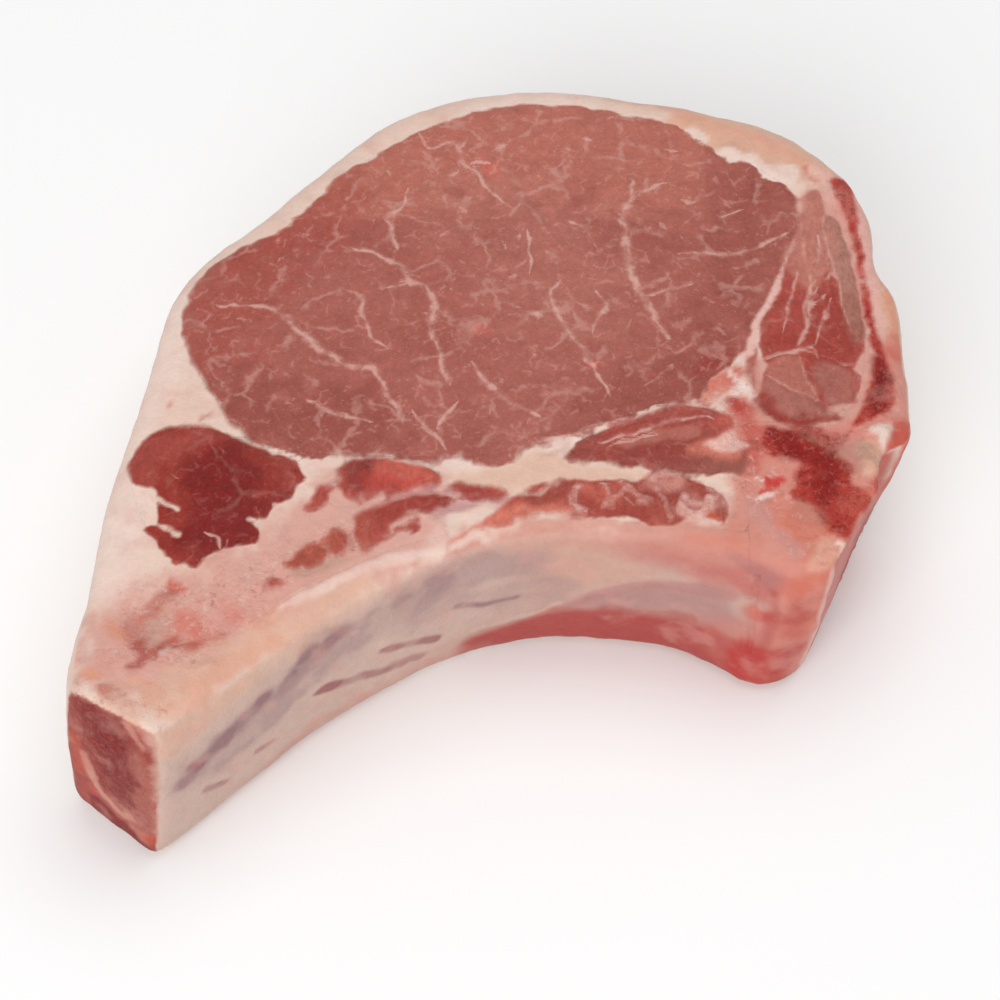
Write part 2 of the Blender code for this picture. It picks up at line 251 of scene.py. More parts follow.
def wallTree(without):           # the upright walls of every other node
    walls = bmesh.new()
    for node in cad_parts:
        if node != without:
            bm = nodeMesh(node)
            flats = [face for face in bm.faces if abs(face.normal.z) > 0.6]
            bmesh.ops.delete(bm, geom=flats, context="FACES_ONLY")
            addTo(walls, bm)
    tree = BVHTree.FromBMesh(walls)
    walls.free()
    return tree


def growInto(bm, tree):          # moves inner walls into their neighbours, so that no groove shows
    moves = []
    for vert in bm.verts:
        place, normal, index, far = tree.find_nearest(vert.co)
        if place is not None and far < chop["seamReach"]:
            into = Vector((-normal.x, -normal.y, 0)).normalized()
            moves.append((vert, into * (far + chop["seamGrow"])))
    for vert, move in moves:
        vert.co += move


def rimEdges(node, upper):       # the edges round a node's upper or lower face, as starts and ends
    bm = nodeMesh(node)
    starts, ends = [], []
    for edge in bm.edges:
        steep = sorted(abs(face.normal.z) for face in edge.link_faces)
        isUpper = edge.verts[0].co.z > midHeight
        if len(steep) == 2 and steep[0] < 0.5 < steep[1] and isUpper == upper:
            starts.append(edge.verts[0].co[:2])
            ends.append(edge.verts[1].co[:2])
    bm.free()
    return np.array(starts), np.array(ends)


def voxelMesh(bm, size):         # the same body in small even faces
    rough = bpy.data.meshes.new("rough")
    bm.to_mesh(rough)
    bm.free()
    block = bpy.data.objects.new("rough", rough)
    bpy.context.collection.objects.link(block)
    remesh = block.modifiers.new("Remesh", "REMESH")
    remesh.mode = "VOXEL"
    remesh.voxel_size = size
    graph = bpy.context.evaluated_depsgraph_get()
    mesh = bpy.data.meshes.new_from_object(block.evaluated_get(graph))
    bpy.data.objects.remove(block)
    bpy.data.meshes.remove(rough)
    return mesh


def readMesh(mesh, group, key, width, kind=np.float32):
    values = np.zeros(len(getattr(mesh, group)) * width, kind)
    getattr(mesh, group).foreach_get(key, values)
    return values.reshape(-1, width)


def relaxed(points, edges, hold, turns):   # draws each point to the middle of its neighbours
    count = np.bincount(edges.ravel(), minlength=len(points))
    for turn in range(turns):
        for axis in range(3):
            along = points[:, axis]
            total = np.bincount(edges[:, 0], along[edges[:, 1]], len(points))
            total += np.bincount(edges[:, 1], along[edges[:, 0]], len(points))
            points[:, axis] += (total / count - along) * hold * chop["bodyPull"]
    return points


class Body:                      # the smooth skin round all the pieces together
    def __init__(self, trees):
        whole = bmesh.new()
        for node, tree in trees.items():
            bm = nodeMesh(node)
            growInto(bm, tree)
            addTo(whole, bm)
        mesh = voxelMesh(whole, chop["bodyVoxel"])
        points = readMesh(mesh, "vertices", "co", 3).astype(float)
        edges = readMesh(mesh, "edges", "vertices", 2, np.int32)
        level = points[:, :2]
        endLine = np.array(chop["endCut"], float)
        endLine[1] += (endLine[0] - endLine[1]) * chop["softCorner"]
        cuts = np.minimum(trace(level, endLine)[0], trace(level, chop["chineCut"])[0])
        onTable = ease(*chop["tableReach"], points[:, 2]) * chop["tablePull"]
        free = np.maximum(ease(*chop["cutReach"], cuts), onTable)
        points = relaxed(points, edges, chop["sharp"] + (1 - chop["sharp"]) * free, chop["bodyTurns"])
        mesh.vertices.foreach_set("co", points.astype(np.float32).ravel())
        mesh.update()
        mesh.calc_loop_triangles()
        self.points = points
        self.corners = readMesh(mesh, "loop_triangles", "vertices", 3, np.int32)
        self.normals = readMesh(mesh, "vertex_normals", "vector", 3).astype(float)
        self.tree = BVHTree.FromPolygons(points.tolist(), self.corners.tolist())
        bpy.data.meshes.remove(mesh)

    def lay(self, points):       # where points lie on the skin, its normal there and how far off they were
        places = points.copy()
        faces = np.zeros(len(points), int)
        reach = np.full(len(points), farAway)
        for index, point in enumerate(points):
            place, normal, face, far = self.tree.find_nearest(Vector(point), chop["skinReach"])
            if place is not None:
                places[index] = place
                faces[index] = face
                reach[index] = far
        corners = self.corners[faces]
        gaps = np.linalg.norm(self.points[corners] - places[:, None, :], axis=2)
        weights = 1 / (gaps + 0.02)
        normals = (self.normals[corners] * weights[:, :, None]).sum(1)
        return places, normals / np.linalg.norm(normals, axis=1)[:, None], reach


def cutRun(cut):                 # start and unit run of a saw cut
    start, end = np.array(cut[0]), np.array(cut[1])
    return start, (end - start) / np.linalg.norm(end - start)


class Skin:                      # the points of a piece's outer surface, and the fields painted on them
    def __init__(self, node, look, body, tree):
        bm = nodeMesh(node)
        growInto(bm, tree)
        self.node = node
        self.name = look["name"]
        self.mesh = voxelMesh(bm, look["voxel"])
        self.points = readMesh(self.mesh, "vertices", "co", 3).astype(float)
        places, normals, reach = body.lay(self.points)
        self.shown = np.nonzero(reach < chop["skinReach"])[0]
        hold = ease(chop["skinReach"], chop["skinReach"] * chop["skinHold"], reach[self.shown])[:, None]
        self.points[self.shown] += (places - self.points)[self.shown] * hold
        self.spots = self.points[self.shown]
        self.normals = normals[self.shown]
        self.fields = {}
        self.chart()
        self.own = self.ownDepth(tree)

    def chart(self):             # flat coordinates and weights of each side of the chop
        x, y, z = self.spots.T
        self.isUpper = z > midHeight
        stray = chop["underWarp"] * ~self.isUpper
        sway = chop["sway"]
        flat = np.stack([line + stray * cloud(self.spots, chop["underSway"], seed, 1)
                         + sway * cloud(self.spots, chop["faceSway"], seed + 2)
                         for line, seed in ((x, 71), (y, 72))], 1)
        endStart, endRun = cutRun(chop["endCut"])
        sideStart, sideRun = cutRun(chop["chineCut"])
        level = self.spots[:, :2]
        shakes = [cloud(self.spots, chop["wallSway"], seed) for seed in (75, 76, 77)]
        along = self.spots + sway * np.stack(shakes, 1)
        endOut = self.normals @ np.array((endRun[1], -endRun[0], 0))
        sideOut = self.normals @ np.array((-sideRun[1], sideRun[0], 0))
        left, before = sides["endCorner"]
        atEnd = ease(*sides["endFacing"], endOut) * (x < left) * (y < before)
        atSide = ease(*sides["sideFacing"], sideOut) * (x > sides["sideFrom"])
        atSide = atSide * ease(*sides["sideBack"], y)
        atFace = ease(*sides["faceFacing"], np.abs(self.normals[:, 2]))
        atFront = (1 - atFace) * (1 - atEnd) * (1 - atSide) * ease(*sides["frontBack"], y)
        atFront = atFront * ease(*sides["frontFacing"], self.normals[:, 1])
        self.charts = {
            "face": (flat, atFace),
            "end": (np.stack([(level - endStart) @ endRun, along[:, 2]], 1), atEnd),
            "side": (np.stack([(level - sideStart) @ sideRun, along[:, 2]], 1), atSide),
            "front": (along[:, (0, 2)], atFront),
        }
        self.wobble = cloud(self.spots, *brush["wobble"])
        self.straggle = cloud(self.spots, *brush["straggle"])
        self.blotch = cloud(self.spots, *brush["blotch"])

    def ownDepth(self, tree):    # distance to the next piece's wall, negative where this one runs into it
        own = np.full(len(self.spots), fieldReach)
        for index, point in enumerate(self.spots):
            place, normal, face, far = tree.find_nearest(Vector(point), wallReach)
            if place is not None:
                own[index] = math.copysign(far, (Vector(point) - place).dot(normal))
        return own

    def rimDepth(self, rims):    # depth inside a CAD node's outline
        flat = self.charts["face"][0]
        depth = np.full(len(flat), -fieldReach)
        for side, (starts, ends) in zip((self.isUpper, ~self.isUpper), rims):
            depth[side] = depthInside(flat[side], starts, ends)
        return depth

    def layer(self, name, colour):
        self.fields[name] = np.tile(linear(colour), (len(self.spots), 1))

    def blend(self, name, colour, mask):
        self.fields[name] += (linear(colour) - self.fields[name]) * mask[:, None]

    def mask(self, chart, width, soft, line):   # of a stroke, or of a patch where the width is "area"
        flat, weight = self.charts[chart]
        shake = self.straggle if chart == "front" else self.wobble
        if width == "area":
            return ease(-soft, soft, areaDepth(flat, line) + shake * soft * brush["areaShake"]) * weight
        reach = trace(flat, line)[0] + shake * soft * brush["lineShake"]
        inside = (1 - ease(width, width + soft, reach)) * weight
        if chart == "front":
            least, more = brush["front"]
            inside = inside * (least + more * ease(-0.5, 0.5, self.blotch))
        return np.clip(inside, 0, 1)

    def daub(self, name, chart, strokes):   # each stroke is colour, width, softness, strength and a line
        for colour, width, soft, strength, line in strokes:
            self.blend(name, colour, self.mask(chart, width, soft, line) * strength)

    def scalar(self, name, zones):   # a number from 0 to 1, from each chart's strokes without a colour
        total = np.zeros(len(self.spots))
        for chart, strokes in zones.items():
            for width, soft, strength, line in strokes:
                total = np.maximum(total, self.mask(chart, width, soft, line) * strength)
        self.fields[name] = total

    def streaks(self, name, strokes):   # thin lines, kept as side and reach so that they stay crisp
        side = np.full(len(self.spots), fieldReach)
        best = np.full(len(self.spots), fieldReach)
        flat = self.charts["face"][0]
        for width, line in strokes:
            reach, signed, share = trace(flat, line)
            bulge = np.sin(math.pi * np.clip(share, 0.04, 0.96))
            taper = width * (brush["thinEnd"] + (1 - brush["thinEnd"]) * bulge)
            closer = reach / taper < best
            best = np.where(closer, reach / taper, best)
            side = np.where(closer, signed / taper, side)
        self.fields[name + "Side"] = np.clip(side, -fieldReach, fieldReach)
        self.fields[name + "Reach"] = best

    def swellBy(self, amount):   # moves the points out by so many millimetres
        self.spots = self.spots + self.normals * amount[:, None]

    def finish(self, material):
        placed = self.points.copy()
        placed[self.shown] = self.spots
        placed[:, 2] = np.clip(placed[:, 2], 0, None)
        placed[:, :2] += np.array(chop["workPoint"])
        self.mesh.vertices.foreach_set("co", (placed / perMetre).astype(np.float32).ravel())
        self.mesh.polygons.foreach_set("use_smooth", np.ones(len(self.mesh.polygons), bool))
        for name, values in self.fields.items():
            isColour = values.ndim == 2
            kind, key, width = ("FLOAT_COLOR", "color", 4) if isColour else ("FLOAT", "value", 1)
            whole = np.zeros((len(self.points), width))
            whole[self.shown, :3] = values if isColour else values[:, None]
            attribute = self.mesh.attributes.new(name, kind, "POINT")
            attribute.data.foreach_set(key, whole.astype(np.float32).ravel())
        self.mesh.materials.clear()
        self.mesh.materials.append(material)
        self.mesh.update()
        piece = bpy.data.objects.new(self.name, self.mesh)
        bpy.context.collection.objects.link(piece)
        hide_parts(self.node)
        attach(piece, "root")
        triangles = sum(len(face.vertices) - 2 for face in self.mesh.polygons)
        print("made", self.name, "with", triangles, "triangles")


class Wire:                      # one output of a node, so that maths on it reads as maths
    def __init__(self, finish, socket):
        self.finish = finish
        self.socket = socket

    def __add__(self, other):
        return self.finish.maths("ADD", self, other)

    def __sub__(self, other):
        return self.finish.maths("SUBTRACT", self, other)

    def __rsub__(self, other):
        return self.finish.maths("SUBTRACT", other, self)

    def __mul__(self, other):
        return self.finish.maths("MULTIPLY", self, other)

    def __abs__(self):
        return self.finish.maths("ABSOLUTE", self, 0.0)

    __radd__ = __add__
    __rmul__ = __mul__


class Finish:                    # a material and the nodes that make it
    def __init__(self, name):
        self.material = bpy.data.materials.new(name)
        self.material.use_nodes = True
        self.tree = self.material.node_tree
        self.tree.nodes.clear()
        self.place = self.node("TexCoord", output="Object")

    def node(self, kind, settings=None, inputs=None, output=0):
        made = self.tree.nodes.new("ShaderNode" + kind)
        for key, value in (settings or {}).items():
            setattr(made, key, value)
        for key, value in (inputs or {}).items():
            if isinstance(value, Wire):
                self.tree.links.new(value.socket, made.inputs[key])
            else:
                made.inputs[key].default_value = value
        return None if output is None else Wire(self, made.outputs[output])

    def maths(self, operation, first, second):
        return self.node("Math", {"operation": operation}, {0: first, 1: second})

    def number(self, name):      # a field painted on the piece
        return self.node("Attribute", {"attribute_name": name}, output="Fac")

    def colour(self, name):
        return self.node("Attribute", {"attribute_name": name}, output="Color")

    def ease(self, low, high, value):
        return self.node("MapRange", {"interpolation_type": "SMOOTHSTEP"}, {0: value, 1: low, 2: high})

    def noise(self, size, detail=2.0, rough=0.5, warp=0.0, place=None):   # size in millimetres
        inputs = {"Vector": place or self.place, "Scale": perMetre / size, "Detail": detail}
        return self.node("TexNoise", {}, {**inputs, "Roughness": rough, "Distortion": warp})

    def web(self, size, place):   # distance to the borders between cells
        inputs = {"Vector": place, "Scale": perMetre / size}
        return self.node("TexVoronoi", {"feature": "DISTANCE_TO_EDGE"}, inputs, output="Distance")

    def warped(self, amount, size):   # the place, shaken by a noise, both in millimetres
        inputs = {"Vector": self.place, "Scale": perMetre / size}
        shake = self.node("TexNoise", {}, inputs, output="Color")
        shake = self.node("VectorMath", {"operation": "SUBTRACT"}, {0: shake, 1: (0.5, 0.5, 0.5)})
        shake = self.node("VectorMath", {"operation": "SCALE"}, {0: shake, 3: amount * 2 / perMetre})
        return self.node("VectorMath", {"operation": "ADD"}, {0: self.place, 1: shake})

    def stretched(self, stretch, turn=0.0):
        return self.node("Mapping", {}, {0: self.place, 2: (0.0, 0.0, turn), 3: stretch})

    def mix(self, first, second, factor):   # the second colour may be a palette name
        if isinstance(second, str):
            second = (*linear(second), 1.0)
        return self.node("Mix", {"data_type": "RGBA"}, {0: factor, 6: first, 7: second}, output=2)

    def shade(self, colour, amount):   # a colour made lighter or darker
        return self.node("VectorMath", {"operation": "SCALE"}, {0: colour, 3: amount})

    def surface(self, colour, roughness, height, settings):   # height in millimetres
        bump = self.node("Bump", {}, {"Height": height, "Strength": 1.0, "Distance": 1 / perMetre})
        inputs = {"Base Color": colour, "Roughness": roughness, "Normal": bump, **settings}
        shader = self.node("BsdfPrincipled", {}, inputs)
        self.node("OutputMaterial", {}, {"Surface": shader}, output=None)
        return self.material


meat = {                         # how strongly the finish is marked
    "mottle": 0.28,              # light and dark over the lean, from coarse to fine
    "drift": 0.20,
    "grain": 0.44,
    "fineGrain": 0.30,
    "fibre": 0.9,                # streaks along the lean
    "web": 0.44,                 # the fine net of fat in the eye
    "vein": 0.80,
    "flecks": 0.85,
    "tatter": 0.22,              # how ragged and how soft the lean's edge is
    "edgeSoft": 0.40,
    "blush": 0.35,               # pink in the fat
    "raw": 0.85,                 # torn tissue
    "fatTone": 0.14,             # light and dark over the fat
    "leanRough": 0.44,
    "fatRough": 0.50,
    "roughGrain": 0.25,
}
softFlesh = {                    # what is the same all over every piece
    "Subsurface Weight": 0.10,
    "Subsurface Radius": (1.0, 0.42, 0.28),
    "Subsurface Scale": 0.0016,
    "IOR": 1.42,
    "Specular IOR Level": 0.30,
}


def meatFinish(name):            # fat with lean on it, and the lean's edge, grain, flecks and veins
    finish = Finish(name)
    drift = finish.noise(5.0, 3.0, 0.55)
    lumps = finish.noise(2.1, 3.0, 0.55)
    grain = finish.noise(0.8, 3.0, 0.6)
    fine = finish.noise(0.28, 2.0, 0.5)
    mid = finish.noise(1.1, 3.0, 0.6)
    tatter = (finish.noise(3.0, 2.0, 0.5) - 0.5) * 2.6 + (mid - 0.5) * 1.8
    hairs = finish.noise(0.75, 3.0, 0.6, 0.3, finish.stretched((1.0, 0.42, 1.0), 0.45)) - 0.5
    raw = finish.number("raw") * meat["raw"]
    sponge = finish.number("sponge")
    feather = finish.number("feather")

    tone = meat["fatTone"]
    tone = 1 + (drift - 0.5) * tone + (grain - 0.5) * tone + (lumps - 0.5) * tone
    fat = finish.shade(finish.colour("fatPaint"), tone)
    fat = finish.mix(fat, "fatPink", finish.ease(0.52, 0.72, finish.noise(6.5, 3.0)) * meat["blush"])
    torn = finish.noise(2.6, 5.0, 0.66, 0.8)
    lumpy = finish.noise(1.1, 4.0, 0.62, 0.5)
    bloody = finish.ease(0.52, 0.66, torn) * finish.ease(0.46, 0.60, lumpy)
    fat = finish.mix(fat, "leanRed", bloody * raw * 0.55)
    fleshy = finish.ease(0.50, 0.40, torn) * finish.ease(0.50, 0.62, lumpy)
    fat = finish.mix(fat, "salmon", fleshy * raw * 0.6)
    fat = finish.mix(fat, "white", finish.ease(0.46, 0.28, lumpy) * raw * 0.35)

    shade = 1 + (lumps - 0.5) * meat["mottle"] + (drift - 0.5) * meat["drift"]
    shade = shade + (grain - 0.5) * meat["grain"] + (fine - 0.5) * meat["fineGrain"]
    flecks = finish.number("flecks") * meat["flecks"]
    lean = finish.shade(finish.colour("leanPaint"), shade + hairs * (1 - flecks) * meat["fibre"])
    specks = finish.ease(0.60, 0.74, finish.noise(0.55, 2.0, 0.6)) * 0.25
    blotches = finish.ease(0.60, 0.78, finish.noise(1.7, 3.0, 0.62, 0.5))
    blotches = blotches * finish.ease(0.42, 0.58, drift)
    lean = finish.mix(lean, "vein", (specks + blotches * 0.7) * flecks)
    patchy = finish.ease(0.46, 0.62, finish.noise(5.5, 3.0, 0.6))
    swell = (mid - 0.5) * 0.16
    broad = finish.ease(0.085, 0.0, finish.web(7.5, finish.warped(1.6, 3.2)) + swell)
    narrow = finish.ease(0.100, 0.0, finish.web(3.6, finish.warped(0.9, 2.0)) + swell)
    lean = finish.mix(lean, "vein", broad * patchy * flecks * meat["web"])
    lean = finish.mix(lean, "vein", narrow * (1 - patchy) * finish.ease(0.5, 0.6, lumps) * flecks * 0.3)

    width = (finish.noise(1.9, 3.0, 0.65) - 0.5) * 4.5
    side = abs(finish.number("veinSide") + tatter * 0.8) - width
    held = finish.ease(3.8, 2.2, finish.number("veinReach"))
    strength = 0.30 + finish.ease(0.36, 0.58, finish.noise(2.6, 2.0)) * 0.7
    vein = (finish.ease(1.9, 0.0, side) * 0.75 + finish.ease(3.2, 0.4, side) * 0.25) * held * strength
    lean = finish.mix(lean, "vein", vein * meat["vein"])

    soft = feather * 0.5 + meat["edgeSoft"]
    border = finish.number("edge") + tatter * meat["tatter"] + hairs * 0.15 + hairs * feather * 0.6
    bare = 1 - finish.ease(soft * -1.2, soft * 0.8, border)
    mask = 1 - bare * (bare * 0.6 + 0.4)
    colour = finish.mix(fat, lean, mask)
    pores = finish.noise(1.2, 5.0, 0.68, 0.3)
    struts = finish.noise(0.9, 4.0, 0.65, 0.2, finish.warped(0.4, 2.0))
    colour = finish.mix(colour, "endDark", finish.ease(0.52, 0.34, pores) * sponge * 0.55)
    colour = finish.mix(colour, "marrowPale", finish.ease(0.52, 0.68, struts) * sponge * 0.35)
    pale = 0.35 + finish.ease(0.4, 0.6, mid) * 0.5
    colour = finish.mix(colour, "blush", finish.number("skin") * pale)
    height = (lumps - 0.5) * 0.18 + (grain - 0.5) * 0.10 + (fine - 0.5) * 0.05 + vein * 0.05
    height = height + (pores - 0.5) * sponge * 0.9 + (lumpy - 0.5) * raw * 0.35
    rough = meat["fatRough"] + (grain - 0.5) * meat["roughGrain"]
    rough = rough + mask * (meat["leanRough"] - meat["fatRough"])
    return finish.surface(colour, rough, height, softFlesh)


